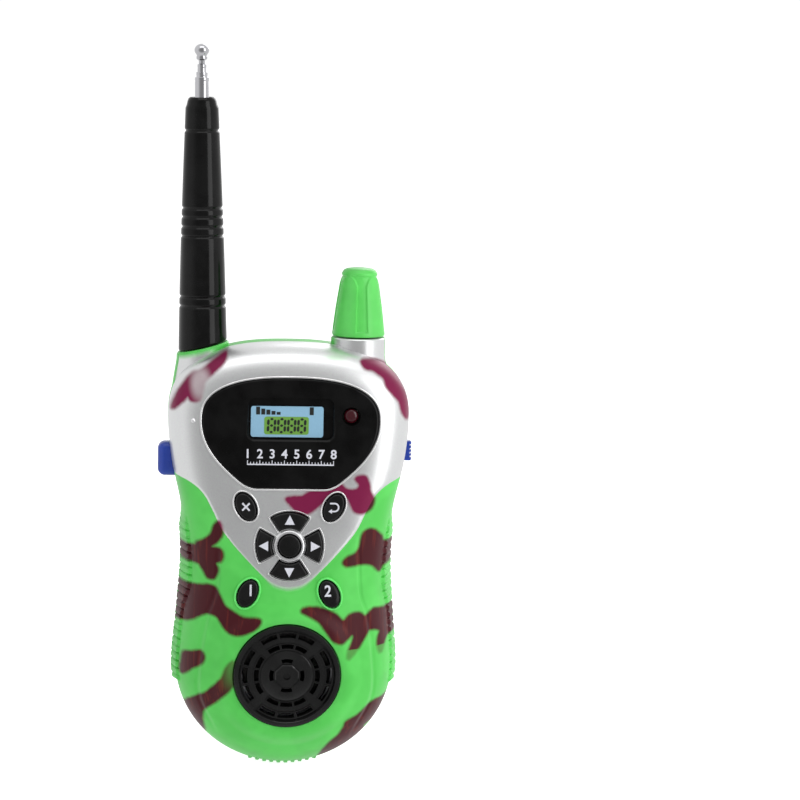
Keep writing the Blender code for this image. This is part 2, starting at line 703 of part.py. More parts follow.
def make_rear_casing():
    casing = casing_shell("rear_casing", False)
    join(casing, *screw_bosses("rear_boss", False))
    low_x, high_x, low_z, high_z = DOOR
    half_bay = BATTERY_SIZE[0] / 2 + 0.65
    bay_foot = BATTERY_FOOT - 0.7
    bay_top = BATTERY_FOOT + BATTERY_SIZE[2] + 5.4
    tray = box("battery_tray", (-half_bay - 1.5, TRAY_FLOOR_Y - 1.4, bay_foot - 1.5),
               (half_bay + 1.5, -2.0, high_z + DOOR_GAP), cutter=True)
    join(casing, box("door_frame", (low_x - 2.5, -4.4, low_z - 2.8), (high_x + 2.5, -1.1, high_z + 2.0),
                     cutter=True), tray)
    join(casing, *switch_ribs())
    join(casing, *socket_halves("rear", False))
    join(casing, *foot_ribs("rear_rib", False))
    cut(casing, *top_bores("rear"))
    cut(casing, door_plate("door_recess", DOOR_GAP, -DOOR_THICK - 0.4, 5.0, None, cutter=True),
        box("door_swing_relief", (low_x, -0.5, LUG_Z - 1.1), (high_x, 5.0, low_z + 0.5), cutter=True),
        box("battery_bay", (-half_bay, TRAY_FLOOR_Y, bay_foot), (half_bay, 1.0, bay_top), cutter=True),
        box("snap_bay", (-half_bay, TRAY_FLOOR_Y, bay_top - 6.0), (half_bay, -6.4, bay_top + 5.4),
            cutter=True))
    for i, (a, b) in enumerate(LUG_SPANS):
        cut(casing, box(f"lug_slot_{i}", (a - 0.4, -2.2, LUG_Z - 1.4), (b + 0.4, 5.0, low_z + 0.5),
                        cutter=True))
    cut(casing, rod("door_screw_pilot", 1.3, (0, 1, DOOR_SCREW_Z), (0, -5.9, DOOR_SCREW_Z), sides=12,
                    cutter=True),
        rod("wire_exit", 1.9, (10.5, TRAY_FLOOR_Y + 3, bay_top), (10.5, TRAY_FLOOR_Y + 3, high_z + 4),
            sides=16, cutter=True))
    cut(casing, *side_openings("rear"))
    for i, (x, z) in enumerate(SCREW_SPOTS):
        cut(casing, rod(f"screw_well_{i}", 2.9, (x, 5, z), (x, -7.0, z), sides=16, cutter=True),
            rod(f"screw_clearance_{i}", 1.6, (x, 0, z), (x, PARTING_Y - 1, z), sides=12, cutter=True))
    for i, (x, z) in enumerate(CLIP_SCREW_SPOTS):
        cut(casing, rod(f"clip_hole_{i}", 1.5, (x, -6, z), (x, 4, z), sides=12, cutter=True))


def screw(name, head_point, direction, head_r, head_h, shank_r, length, slot=True):
    """A pan-head screw: its head at head_point, its shank running along direction."""
    direction = Vector(direction)
    profile = [(0, head_h), (head_r * 0.7, head_h), (head_r, head_h * 0.55), (head_r, 0), (shank_r, 0),
               (shank_r, -length * 0.85), (0, -length)]
    obj = turned(name, profile, head_point, -direction, STEEL, sides=10)
    if slot:
        back = Vector(head_point) - direction * head_h
        reach = Vector((head_r * 1.2, 0.7, 0.3))
        cut(obj, box(f"{name}_slot", back - reach, back + reach, cutter=True))
    return obj


def make_fasteners():
    for i, (x, z) in enumerate(SCREW_SPOTS):
        screw(f"casing_screw_{i + 1}", (x, -6.7, z), (0, -1, 0), 2.5, 1.6, 1.25, 17.0)
    for i, (x, z) in enumerate(PCB_SCREW_SPOTS):
        screw(f"pcb_screw_{i + 1}", (x, BOARD_BACK_Y + 0.3, z), (0, -1, 0), 2.0, 1.2, 1.0, 6.0)
    for i, (x, z) in enumerate(CLIP_SCREW_SPOTS):
        screw(f"clip_screw_{i + 1}", (x, -2.6, z), (0, 1, 0), 2.3, 1.4, 1.15, 6.2)


# ---------------------------------------------------------------- back pieces

def door_plate(name, grow, back, front, mat, cutter=False):
    """The door's rounded outline between two depths."""
    low_x, high_x, low_z, high_z = DOOR
    corners = [(high_x, high_z, 0), (low_x, high_z, 90), (low_x, low_z, 180), (high_x, low_z, 270)]
    outline_points = []
    for x, z, start in corners:
        cx = x - math.copysign(DOOR_CORNER, x)
        cz = z - math.copysign(DOOR_CORNER, z - (low_z + high_z) / 2)
        for k in range(5):
            angle = math.radians(start + 22.5 * k)
            outline_points.append((cx + (DOOR_CORNER + grow) * math.cos(angle),
                                   cz + (DOOR_CORNER + grow) * math.sin(angle)))
    rings = [[(x, y, z) for x, z in outline_points] for y in (back, front)]
    return loft(name, rings, mat, cutter=cutter)


def make_battery_door():
    low_z = DOOR[2]
    door = door_plate("battery_door", 0.0, -DOOR_THICK, 0.0, GREEN)
    for i, (a, b) in enumerate(LUG_SPANS):
        join(door, rod(f"lug_{i}", LUG_R, (a, LUG_Y, LUG_Z), (b, LUG_Y, LUG_Z), sides=16, cutter=True),
             box(f"lug_root_{i}", (a, LUG_Y - 0.5, LUG_Z), (b, LUG_Y + 0.5, low_z + 0.5), cutter=True))
    for k in range(5):
        z = 60.0 + k * 1.8
        cut(door, box(f"thumb_groove_{k}", (-6.0, -0.5, z), (6.0, 1.0, z + 0.8), cutter=True))
    cut(door, rod("door_screw_head_well", 2.4, (0, 1.0, DOOR_SCREW_Z), (0, -0.9, DOOR_SCREW_Z), sides=16,
                  cutter=True),
        rod("door_screw_hole", 1.4, (0, 1.0, DOOR_SCREW_Z), (0, -3.0, DOOR_SCREW_Z), sides=12, cutter=True))
    screw("battery_door_screw", (0, -0.7, DOOR_SCREW_Z), (0, -1, 0), 2.0, 0.6, 1.05, 4.6, slot=False)


def make_belt_clip():
    """A root block on the back with a springy tongue hanging down from its top."""
    root = [(5.8, 124.8), (0.35, 126.4), (0.35, 110.5), (4.0, 110.5), (4.6, 112.0)]
    tongue_inside = [(4.8, 108.0), (5.0, 100.0), (4.3, 88.0), (2.2, 81.6), (1.3, 79.8)]
    tongue_outside = [(3.0, 78.8), (5.0, 80.2), (6.4, 88.0), (7.2, 100.0), (7.0, 119.0)]
    side = root + tongue_inside + tongue_outside
    rings = [[(x * (1.0 if z > 105 else 0.94), y, z) for y, z in side] for x in (-10.0, 10.0)]
    clip = loft("belt_clip", rings, GREEN)
    round_edges(clip, 0.35, 1)
    for i, (x, z) in enumerate(CLIP_SCREW_SPOTS):
        cut(clip, rod(f"clip_pilot_{i}", 1.35, (x, -1, z), (x, 4.4, z), sides=12, cutter=True))


def make_battery():
    width, depth, height = BATTERY_SIZE
    top = BATTERY_FOOT + height
    battery = box("battery_9v", (-width / 2, BATTERY_BACK_Y - depth, BATTERY_FOOT),
                  (width / 2, BATTERY_BACK_Y, top), BATTERY, bevel=1.6)
    middle_y = BATTERY_BACK_Y - depth / 2
    for i, (x, r) in enumerate(TERMINALS):
        join(battery, rod(f"terminal_{i}", r, (x, middle_y, top - 0.5), (x, middle_y, top + 2.4), sides=16,
                          cutter=True))
    box("battery_snap", (-12.6, middle_y - 5.0, top + 2.7), (12.6, middle_y + 4.7, top + 4.8), BLACK_MATT,
        bevel=0.4)


# ---------------------------------------------------------------- antenna

def make_antenna():
    height = SLEEVE_TOP - SLEEVE_BOTTOM
    groove = 0.35

    def sleeve_radius(h):
        return 7.7 - 0.85 * (h / height) - 1.75 * (h / height) ** 1.6

    profile = [(2.45, height - 0.6), (3.6, height), (4.45, height - 1.0), (4.95, height - 3.0)]
    for h in SLEEVE_GROOVES:
        r = sleeve_radius(h)
        profile += [(r, h + 0.7), (r - groove, h), (r, h - 0.7)]
    profile += [(7.7, 0.6), (7.3, 0.0), (4.6, 0.0), (4.6, -15.0), (2.45, -15.0)]
    turned("antenna_sleeve", profile, ANTENNA_FOOT, ANTENNA_UP, BLACK, sides=20)

    tubes = [("antenna_outer_tube", 2.25, 1.95), ("antenna_middle_tube", 1.8, 1.55),
             ("antenna_inner_tube", 1.4, 1.15)]
    for k, (name, outer, inner) in enumerate(tubes):
        low, high = TUBE_FOOT + 2 * k, TUBE_TOPS[k]
        turned(name, [(inner, high), (outer, high), (outer, low), (inner, low)], ANTENNA_FOOT, ANTENNA_UP,
               CHROME, sides=16)
    ball = []
    for k in range(9):
        angle = math.radians(90 - 140 * k / 8)
        ball.append((2.35 * math.cos(angle) if k else 0.0, TIP_HEIGHT + 2.0 * math.sin(angle)))
    collar = [(1.6, TIP_HEIGHT - 2.0), (1.75, TIP_HEIGHT - 2.5), (1.6, TIP_HEIGHT - 3.0)]
    stem = [(1.0, TIP_HEIGHT - 3.3), (1.0, TUBE_FOOT + 6), (0, TUBE_FOOT + 6)]
    turned("antenna_tip_rod", ball[:8] + collar + stem, ANTENNA_FOOT, ANTENNA_UP, CHROME, sides=16)
    clamp = rod("antenna_terminal", 3.6, on_antenna(-16.6), on_antenna(-15.3), STEEL, sides=24)
    cut(clamp, rod("terminal_bore", 0.9, on_antenna(-18), on_antenna(-14), sides=12, cutter=True))


# ---------------------------------------------------------------- knob

def make_knob():
    height = KNOB_TOP - KNOB_BOTTOM
    cap = [(0, height), (3.5, height - 0.15), (5.0, height - 0.8), (5.9, height - 2.2)]
    skirt = [(6.5, height - 6.0), (7.5, height * 0.42), (8.3, 2.5), (8.4, 0.4), (8.0, 0.0)]
    stem = [(3.0, 0.0), (3.0, -10.7), (3.9, -11.5), (2.6, -13.7), (0, -13.7)]
    knob = turned("volume_knob", cap + skirt + stem, (KNOB_X, KNOB_Y, KNOB_BOTTOM), (0, 0, 1), GREEN,
                  sides=24)
    lift = KNOB_CHANNEL_R - KNOB_CHANNEL_DEPTH
    for k in range(KNOB_CHANNELS):
        angle = math.radians(KNOB_CHANNEL_TURN) + 2 * math.pi * k / KNOB_CHANNELS
        out = Vector((math.cos(angle), math.sin(angle), 0))
        low = Vector((KNOB_X, KNOB_Y, KNOB_BOTTOM + 1.6)) + out * (8.3 + lift)
        high = Vector((KNOB_X, KNOB_Y, KNOB_TOP - 2.3)) + out * (5.95 + lift)
        cut(knob, rod(f"knob_channel_{k}", KNOB_CHANNEL_R, low, high, sides=16, cutter=True))


# ---------------------------------------------------------------- side controls

def make_ptt():
    edge = half_width(PTT_Z)
    button = box("ptt_button", (-edge - 4.4, PARTING_Y - 3.8, PTT_Z - 5.4),
                 (-edge + 4.8, PARTING_Y + 3.8, PTT_Z + 5.4), BLUE, bevel=1.4)
    join(button, box("ptt_flange", (-edge + 4.4, PARTING_Y - 5.2, PTT_Z - 6.8),
                     (-edge + PTT_FLANGE, PARTING_Y + 5.2, PTT_Z + 6.8), cutter=True))
    inner = -edge + PTT_FLANGE
    anchor = inner + PTT_SPRING_SPACE
    coil = bpy.data.curves.new("ptt_spring", "CURVE")
    coil.dimensions = "3D"
    coil.bevel_depth = 0.25 * MM
    coil.bevel_resolution = 0
    coil.use_fill_caps = True
    spline = coil.splines.new("POLY")
    turns, per_turn, coil_r = 4, 10, 1.8
    steps = turns * per_turn
    spline.points.add(steps)
    for k in range(steps + 1):
        angle = 2 * math.pi * k / per_turn
        x = inner + 0.6 + (PTT_SPRING_SPACE - 1.2) * k / steps
        y, z = PARTING_Y + coil_r * math.cos(angle), PTT_Z + 4.0 + coil_r * math.sin(angle)
        spline.points[k].co = (*at(x, y, z), 1.0)
    spring = bpy.data.objects.new("ptt_spring", coil)
    PARTS.objects.link(spring)
    coil.materials.append(STEEL)
    weld = spring.modifiers.new("close_caps", "WELD")
    weld.merge_threshold = 0.00001
    box("ptt_switch_plunger", (inner + 0.3, PARTING_Y - 1.2, PTT_Z - 3.6),
        (inner + 4.8, PARTING_Y + 1.2, PTT_Z - 1.2), BLACK_MATT)
    body = box("ptt_switch_body", (inner + 2.9, PARTING_Y - 3.2, PTT_Z - 5.6),
               (anchor - 0.3, PARTING_Y + 3.2, PTT_Z + 0.8), STEEL, bevel=0.3)
    cut(body, box("plunger_well", (inner + 1.0, PARTING_Y - 1.6, PTT_Z - 4.0),
                  (inner + 6.9, PARTING_Y + 1.6, PTT_Z - 0.8), cutter=True))


def make_power():
    edge = half_width(POWER_Z)
    slider = box("power_slider", (edge - 4.0, PARTING_Y - 2.0, POWER_Z - 3.2),
                 (edge + 2.1, PARTING_Y + 2.0, POWER_Z + 3.2), BLUE, bevel=0.4)
    join(slider, box("slider_flange", (edge - POWER_FLANGE, PARTING_Y - 3.6, POWER_Z - 6.6),
                     (edge - 3.7, PARTING_Y + 3.6, POWER_Z + 7.4), cutter=True))
    for k in range(POWER_GROOVES):
        z = POWER_Z + (k - (POWER_GROOVES - 1) / 2) * POWER_GROOVE_PITCH
        cut(slider, box(f"slider_groove_{k}", (edge + 1.4, PARTING_Y - 4, z - 0.3),
                        (edge + 4, PARTING_Y + 4, z + 0.3), cutter=True))
    inner = edge - POWER_FLANGE
    box("power_switch_lever", (inner - 3.4, PARTING_Y - 0.9, POWER_Z - 0.9),
        (inner - 0.3, PARTING_Y + 0.9, POWER_Z + 0.9), BLACK_MATT)
    body = box("power_switch_body", (inner - POWER_SWITCH_DEPTH + 0.3, PARTING_Y - 2.6, POWER_Z - 6.0),
               (inner - 2.0, PARTING_Y + 2.6, POWER_Z + 6.6), STEEL, bevel=0.3)
    cut(body, box("lever_slot", (inner - 4.0, PARTING_Y - 1.3, POWER_Z - 1.3),
                  (inner, PARTING_Y + 1.3, POWER_Z + 1.3 + POWER_TRAVEL), cutter=True))


# ---------------------------------------------------------------- display

def make_display():
    layers = [(-0.4, 0.6), (0.0, 0.35), (0.0, -0.7), (-1.8, -0.7), (-1.8, -2.3)]
    bezel = panel_patch("display_bezel", layers, BLACK)
    low_x, high_x, low_z, high_z = WINDOW
    face = front_y(0, LENS_WIDEST, 0.6)
    cut(bezel, box("window_recess", (low_x, face - 3, low_z), (high_x, face + 1.9, high_z), bevel=0.8,
                   cutter=True))
    cut(bezel, rod("led_hole", LED_R + 0.3, (LED_X, -48, LED_Z), (LED_X, -25, LED_Z), sides=20, cutter=True))
    low_x, high_x, low_z, high_z = CARD
    box("display_card", (low_x, face + 0.5, low_z), (high_x, face + 0.9, high_z), CARD_BLUE)
    face = front_y(LED_X, LED_Z, 0.3)
    turned("status_led", [(0, 0), (LED_R * 0.6, -0.25), (LED_R, -0.9), (LED_R, -5.8), (0, -5.8)],
           (LED_X, face, LED_Z), (0, -1, 0), LED_RED, sides=20)


# ---------------------------------------------------------------- keypad

def make_keypad():
    for name, shape in KEYS.items():
        key_cap(name, shape)
    sheet = box("keypad_membrane", (-18.8, MEMBRANE_Y, 53.5), (18.8, BOARD_FRONT_Y - 0.3, 93.5), RUBBER)
    cut(sheet, box("membrane_hollow", (-17.6, MEMBRANE_Y + 0.9, 54.7), (17.6, -20.0, 92.3), cutter=True))


# ---------------------------------------------------------------- speaker

def make_speaker():
    grille = speaker_rod("speaker_grille", SPEAKER_R, 0.0, 2.0, BLACK, sides=40)
    join(grille, speaker_rod("grille_spigot", 15.2, 1.5, 3.6, sides=32, cutter=True))
    right = Vector((1, 0, 0))
    up = right.cross(SPEAKER_OUT)
    up = -up if up.z < 0 else up
    for quarter in range(4):
        for third in (-1, 0, 1):
            angle = math.radians(90 * quarter + third * 23)
            radial = right * math.cos(angle) + up * math.sin(angle)
            across = SPEAKER_OUT.cross(radial)
            for lane in GRILLE_LANES:
                slot = box(f"grille_slot_{lane}_{quarter}_{third + 1}", (-lane * 0.17, -6, -0.65),
                           (lane * 0.17, 6, 0.65), cutter=True)
                slot.rotation_euler = Matrix((across, SPEAKER_OUT, radial)).transposed().to_euler()
                slot.location = at(*(on_speaker(1.0) + radial * lane))
                cut(grille, slot)
    base = on_speaker(SPEAKER_FRAME_DEPTH)
    frame = [(14.2, 0.0), (15.2, 0.0), (15.2, -1.0), (9.6, -5.8), (9.6, -6.6), (4.0, -6.6), (4.0, -6.0),
             (8.6, -6.0), (8.6, -5.2), (14.2, -1.1)]
    turned("speaker_frame", frame, base, SPEAKER_OUT, STEEL, sides=24)
    cone = [(0, -2.0), (3.0, -2.9), (6.0, -2.9), (12.2, 0.3), (13.8, 0.1), (13.8, -0.4), (12.2, -0.2),
            (6.2, -3.6), (3.4, -3.6), (3.4, -5.4), (2.9, -5.4), (2.9, -3.5), (0, -2.6)]
    turned("speaker_cone", cone, base, SPEAKER_OUT, PAPER, sides=24)
    speaker_rod("speaker_magnet", 8.6, SPEAKER_FRAME_DEPTH + 6.9, SPEAKER_FRAME_DEPTH + 10.4, STEEL)


# ---------------------------------------------------------------- electronics

def make_electronics():
    board = box("main_pcb", (-24.4, BOARD_FRONT_Y, 52.0), (24.4, BOARD_BACK_Y, 124.5), BOARD)
    for i, (x, z) in enumerate(PCB_SCREW_SPOTS):
        cut(board, rod(f"board_hole_{i}", 1.4, (x, -35, z), (x, -20, z), sides=12, cutter=True))
    back = BOARD_BACK_Y + 0.3
    box("audio_chip", (-4.9, back, 78.0), (4.9, back + 3.4, 84.5), BLACK_MATT, bevel=0.3)
    box("tuning_coil", (-17.0, back, 98.0), (-10.0, back + 8.0, 105.0), STEEL, bevel=0.5)
    box("crystal", (3.0, back, 106.0), (14.0, back + 4.4, 110.6), CHROME, bevel=1.2)
    rod("capacitor", 2.5, (14.5, back, 92.0), (14.5, back + 8.5, 92.0), BLUE_SLEEVE, sides=20)
    snap_top = BATTERY_FOOT + BATTERY_SIZE[2] + 5.3
    wire("antenna_wire", [on_antenna(-17.3), (-28.0, -18.5, 113.0), (-23.5, -23.0, 110.0),
                          (-20.5, back, 111.0)], WIRE_BLACK)
    wire("battery_wire_red", [(10.5, -13.0, snap_top), (10.7, -17.0, 72.0), (11.1, -17.8, 76.0),
                              (14.0, -21.0, 82.0), (17.0, back, 86.0)], WIRE_RED)
    wire("battery_wire_black", [(8.9, -11.0, snap_top), (9.4, -16.4, 72.4), (9.8, -17.8, 76.0),
                                (9.4, -21.5, 86.0), (9.0, back, 91.0)], WIRE_BLACK)
    for name, x, mat in (("speaker_wire_red", 19.4, WIRE_RED), ("speaker_wire_black", -19.4, WIRE_BLACK)):
        wire(name, [(x * 0.5, -31.0, 46.5), (x * 0.75, -27.0, 48.5), (x * 0.9, -25.8, 52.5), (x, -27.0, 56.0),
                    (x, back, 58.0)], mat)


make_front_casing()
make_rear_casing()
make_battery_door()
make_belt_clip()
make_fasteners()
make_battery()
make_antenna()
make_knob()
make_ptt()
make_power()
make_display()
make_keypad()
make_speaker()
make_electronics()
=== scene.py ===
"""Looks of the toy walkie talkie: fine surfaces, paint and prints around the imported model.

Lengths here are millimetres and heights are measured from the foot of the casing; at() turns
them into the frame's metres. +X is to the right of the front, -Y out of the front, +Z up.
"""
import math

import bmesh
import bpy
import numpy as np
from mathutils import Matrix, Vector


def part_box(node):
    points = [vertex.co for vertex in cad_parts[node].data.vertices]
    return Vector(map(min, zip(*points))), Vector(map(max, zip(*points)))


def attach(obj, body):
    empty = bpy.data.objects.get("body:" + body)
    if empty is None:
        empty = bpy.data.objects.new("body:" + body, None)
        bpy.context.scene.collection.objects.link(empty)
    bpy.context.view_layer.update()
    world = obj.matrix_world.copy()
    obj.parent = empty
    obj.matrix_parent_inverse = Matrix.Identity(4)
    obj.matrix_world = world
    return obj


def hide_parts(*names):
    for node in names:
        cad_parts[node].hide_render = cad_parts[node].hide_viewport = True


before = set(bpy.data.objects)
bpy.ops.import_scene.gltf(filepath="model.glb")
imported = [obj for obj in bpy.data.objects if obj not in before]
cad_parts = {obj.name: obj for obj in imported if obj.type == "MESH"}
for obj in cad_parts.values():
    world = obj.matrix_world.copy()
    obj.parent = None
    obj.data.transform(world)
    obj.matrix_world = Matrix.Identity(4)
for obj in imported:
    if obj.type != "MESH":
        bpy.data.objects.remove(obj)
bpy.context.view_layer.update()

MM = 0.001
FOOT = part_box("front_casing")[0].z      # height of the foot in the frame

# Casing: its outline from the front, and its depth before and behind the parting plane
CASING_HEIGHT = 138.0
PARTING_Y = -18.0
WALL = 1.8
SEAM_GAP = 0.12
FOOT_LIFT = 0.8           # the foot's ribs reach this far below the casing's arc
BOTTOM_ARC_HEIGHT = 34.0
BOTTOM_ARC_WIDTH = 35.0
TOP_ARC_HEIGHT = 114.0
TOP_ARC_WIDTH = 38.5
TOP_ARC_POWER = 2.5
CORE_TOP = 104.0
# (height, half width)
WAIST = [(34.0, 35.0), (51.0, 33.7), (69.0, 32.6), (85.0, 34.0), (100.0, 37.2), (114.0, 38.5)]
# (height, depth in front of the parting plane)
FRONT_DEPTH = [(0.0, 17.0), (12.0, 20.2), (30.0, 22.8), (48.0, 23.6), (75.0, 21.6),
               (100.0, 19.0), (125.0, 17.2), (140.0, 16.5)]
FRONT_FLATNESS = (3.5, 6.0)     # how squarely the face meets the sides, low down and high up
REAR_FLATNESS = (8.0, 8.0)
GRIP_SPAN = (28.0, 85.0)
GRIP_RISE = 1.6           # at the parting plane
GRIP_EDGE = 0.75          # where the grips end
GRIP_REACH = (7.0, 11.5)  # how far the grips wrap forwards, on their lower and their upper part
FRONT_RIB_PITCH = 2.4
REAR_RIB_PITCH = 1.7
RIB_GROOVE = 0.55
RINGS = 110               # of the fine surface, from its rim to its middle line
GRID_STEP = 0.36          # of its points along the sides
FOOT_RIBS = 10
FOOT_RIB_PITCH = 2.3
# (height, half width of the raised middle of the front)
CREASE = [(10.0, 21.0), (26.0, 27.0), (41.0, 26.6), (52.0, 24.8), (60.0, 22.2), (80.0, 21.6), (95.0, 22.5)]
CREASE_STEP = 0.8
CREASE_GROOVE = 0.3
SILVER_STEP = 0.4
# Right half of the silver paint's lower edge, as (x, height)
SILVER_EDGE = [(0.0, 61.6), (5.5, 63.4), (13.0, 70.4), (20.6, 79.0), (24.3, 86.0), (27.2, 91.0),
               (31.0, 94.2), (36.0, 96.0), (46.0, 97.5)]

# Display, keys and speaker
LENS_CENTRE = 111.0
LENS_HALF_WIDTH = 28.0
LENS_WIDEST, LENS_TOP, LENS_BOTTOM = 114.4, 127.8, 93.2
WINDOW = (-13.4, 13.3, 108.7, 121.7)     # low and high x, low and high z
PATCH = (-8.5, 5.6, 110.1, 115.8)        # green area behind the figures, as low and high x and z
SCALE_LEFT, SCALE_STEP, SCALE_Z = -13.6, 0.97, 101.0
PAD_Z = 75.3
PAD_INNER, PAD_OUTER = 5.6, 10.45
CENTRE_KEY_R = 3.5
OVAL_A, OVAL_B = 2.9, 4.5
KEY_GAP = 0.3
KEY_RISE = 1.15
RIM_R = 0.36
KEY_BACK, KEY_FLANGE = -34.45, -35.6     # depths of the back and the front of a key's flange
# Leans of the oval keys, and the ring keys' facing and half angle, all in degrees
OVAL_LEANS = {"key_clear": 28, "key_return": -28, "key_1": -25, "key_2": 25}
RING_KEYS = {"key_up": (90, 34), "key_down": (270, 34), "key_left": (180, 28), "key_right": (0, 28)}
KEY_NAMES = ["key_clear", "key_return", *RING_KEYS, "key_centre", "key_1", "key_2"]
SPEAKER_Z = 33.5
SPEAKER_R = 17.0
SPEAKER_TILT = math.radians(7)
GRILLE_FACE_Y = -42.2
SPEAKER_OUT = Vector((0, -math.cos(SPEAKER_TILT), -math.sin(SPEAKER_TILT)))
SPEAKER_UP = Vector((0, -math.sin(SPEAKER_TILT), math.cos(SPEAKER_TILT)))

# Knob and antenna
KNOB_Y = -16.5
KNOB_LOW = 139.8
KNOB_TURN = math.radians(4)
COLLAR_R = 8.7
SPLAY = math.radians(1.1)                # how far the antenna leans outwards
ANTENNA_FOOT = Vector((-27.7, -15.0, 135.7))
ANTENNA_UP = Vector((-math.sin(SPLAY), 0, math.cos(SPLAY)))
SOCKET_R = 8.4
SOCKET_SLOPE = math.tan(math.radians(13))     # the socket's top is lower on the outer side
SLEEVE_HEIGHT = 79.1
SLEEVE_GROOVES = (68.6, 44.0, 41.2, 38.1, 35.1, 15.8, 12.8)
TIP_HEIGHT = 93.9                        # middle of the ball, along the antenna
# Name, CAD node, outer and inner radius, height of the top and body of each tube
TUBES = [("tube_outer", "antenna_outer_tube", 2.25, 1.95, 85.4, "casing"),
         ("tube_middle", "antenna_middle_tube", 1.8, 1.55, 87.0, "antenna_middle"),
         ("tube_inner", "antenna_inner_tube", 1.4, 1.15, 89.5, "antenna_inner")]

# Sides and back
TALK_Z = 99.6
SLIDER_Z = 103.0
DOOR_LOW = 17.5
DOOR_CORNER = 3.5
DOOR_SCREW_Z = 73.2
LUG_Y, LUG_Z, LUG_R = -0.95, 17.0, 0.9
LUG_SPANS = [(-12.5, -7.5), (7.5, 12.5)]
BATTERY_HEIGHT = 45.0
THREAD_PITCH = 0.8

# Studio
FLOOR_GLOW = 0.9                         # as the camera sees it
FLOOR_BOUNCE = 0.2
WORLD_GLOW = 0.30
WORLD_REFLECTION = (0.38, 1.0)           # in front and behind, as shiny pieces mirror it
CAMERA_PLACE = (-56.24, -1091.78, 262.98)
CAMERA_LENS = 152.3
CAMERA_ANGLES = (4.9, -7.6, 1.4)         # heading, pitch and roll in degrees

# Camouflage patches, as soft-edged outlines on the front, in (x, height)
CAMO = {
    "shoulder_left": [(-37.5, 117), (-36, 121.5), (-33.5, 125.5), (-31, 128.3), (-28, 129.6),
        (-23.5, 133.2), (-20.5, 135), (-21.5, 132.3), (-24.5, 129.3), (-27.5, 126.3), (-28, 124),
        (-29, 120.6), (-31.5, 120.3), (-32.6, 121.6), (-34, 120)],
    "shoulder_right": [(22.3, 132.9), (24, 133.3), (27, 132.7), (30.5, 131.2), (33.3, 128.5),
        (35.5, 125), (37.2, 121.5), (38.2, 117.5), (37.4, 114.8), (35.6, 117), (34.5, 120.5),
        (32.3, 123), (30.4, 125.2), (29.3, 128), (26, 130.3), (23.5, 131)],
    "splash": [(-1.3, 90), (1, 90.6), (4, 90.8), (6.5, 92.3), (10.5, 93), (15.5, 94.6), (18, 93),
        (21, 93), (22, 94.6), (20.7, 96.4), (22, 97.3), (24, 97), (25, 94.5), (25.4, 92.2), (26.6, 90),
        (26, 87.3), (23.5, 85.7), (20.8, 86), (19.3, 88.3), (18, 90.6), (15, 92.2), (12, 90.6),
        (10, 88.8), (7.5, 86.6), (5, 85.3), (2, 86.3), (0, 88.3)],
    "star": [(-22, 82.2), (-21.3, 78.5), (-22.8, 76), (-25, 74), (-22, 73.7), (-20.9, 72), (-21.5, 70),
        (-23.2, 69), (-22.4, 67), (-23.5, 64.3), (-25.5, 64.3), (-27.2, 67), (-29.3, 68.6), (-40, 68.8),
        (-40, 73.6), (-30.5, 73.6), (-28.8, 75), (-26.3, 76.5), (-24.6, 78.3), (-23.6, 81.2)],
    "band_left": [(-40, 60.2), (-33, 60.6), (-27.5, 61.2), (-25, 61.7), (-23, 61), (-21.3, 58),
        (-20, 55.6), (-17.5, 53.9), (-14, 52.1), (-10.5, 52.1), (-8.8, 51.6), (-10, 49.4), (-12.5, 47.9),
        (-15.5, 47), (-18.5, 47.5), (-20.5, 49.6), (-22.5, 52.4), (-25, 53), (-27.5, 52), (-30.5, 50),
        (-34, 48.8), (-40, 49.4)],
    "fleck": [(-32.5, 38.4), (-30.5, 39.3), (-27.2, 40.2), (-26.3, 38.5), (-27.4, 36.3), (-30, 34.4),
        (-32.8, 31.8), (-33.4, 33), (-33, 36)],
    "slash_left": [(-16.4, 37.8), (-15.6, 33.5), (-17.3, 30), (-20, 27), (-23, 24), (-26, 21),
        (-26.4, 17), (-25.4, 10.5), (-27.6, 10.5), (-31.4, 16.5), (-31.5, 21.8), (-28.5, 24.7),
        (-25.5, 26.9), (-23, 29.5), (-20.5, 32.5), (-19.4, 35.6), (-18, 37.5)],
    "cap_right": [(17.3, 70), (18.5, 71.5), (21, 72.6), (22.5, 74.5), (23, 77), (23.7, 79.2),
        (25.6, 80.1), (27.6, 79.5), (29.6, 77.4), (31.2, 75.2), (40, 74.4), (40, 68.8), (33.4, 68.4),
        (30.7, 68), (29.4, 66.3), (28, 67.4), (26, 69), (22, 69.3), (18.5, 69)],
    "band_right": [(4.3, 54.6), (5.5, 55.6), (9, 55.7), (12.5, 54.7), (15.5, 53.1), (17.5, 51.2),
        (19.5, 53), (22.5, 53.6), (25, 52.2), (27.5, 54.1), (31.5, 53.6), (40, 53.8), (40, 46), (34, 45),
        (32, 44), (30.6, 40), (29.4, 41.3), (29.3, 44.5), (30, 47), (26.5, 48), (25, 46.5), (23, 43.3),
        (19.6, 39.3), (19.4, 41.5), (21, 45.3), (20.5, 47), (18.5, 45.4), (17, 44.5), (14.5, 45.3),
        (12.5, 47.9), (10, 51.3), (7.5, 52.9)],
    "slash_right": [(36, 25.5), (34.5, 21), (32, 17.5), (28, 16), (25.6, 14.4), (26, 10.6), (22, 7),
        (18, 4.5), (13.5, 1.5), (11, 0), (12.3, 5.5), (15, 10), (17.4, 12.5), (19, 15.5), (19.6, 17.4),
        (22.5, 19), (24.5, 20.6), (28, 23.4), (32, 24.2)],
}


# ---------------------------------------------------------------- helpers

def at(x, y, z):
    """A point in the frame's metres from millimetres and a height above the foot."""
    return Vector((x * MM, y * MM, z * MM + FOOT))


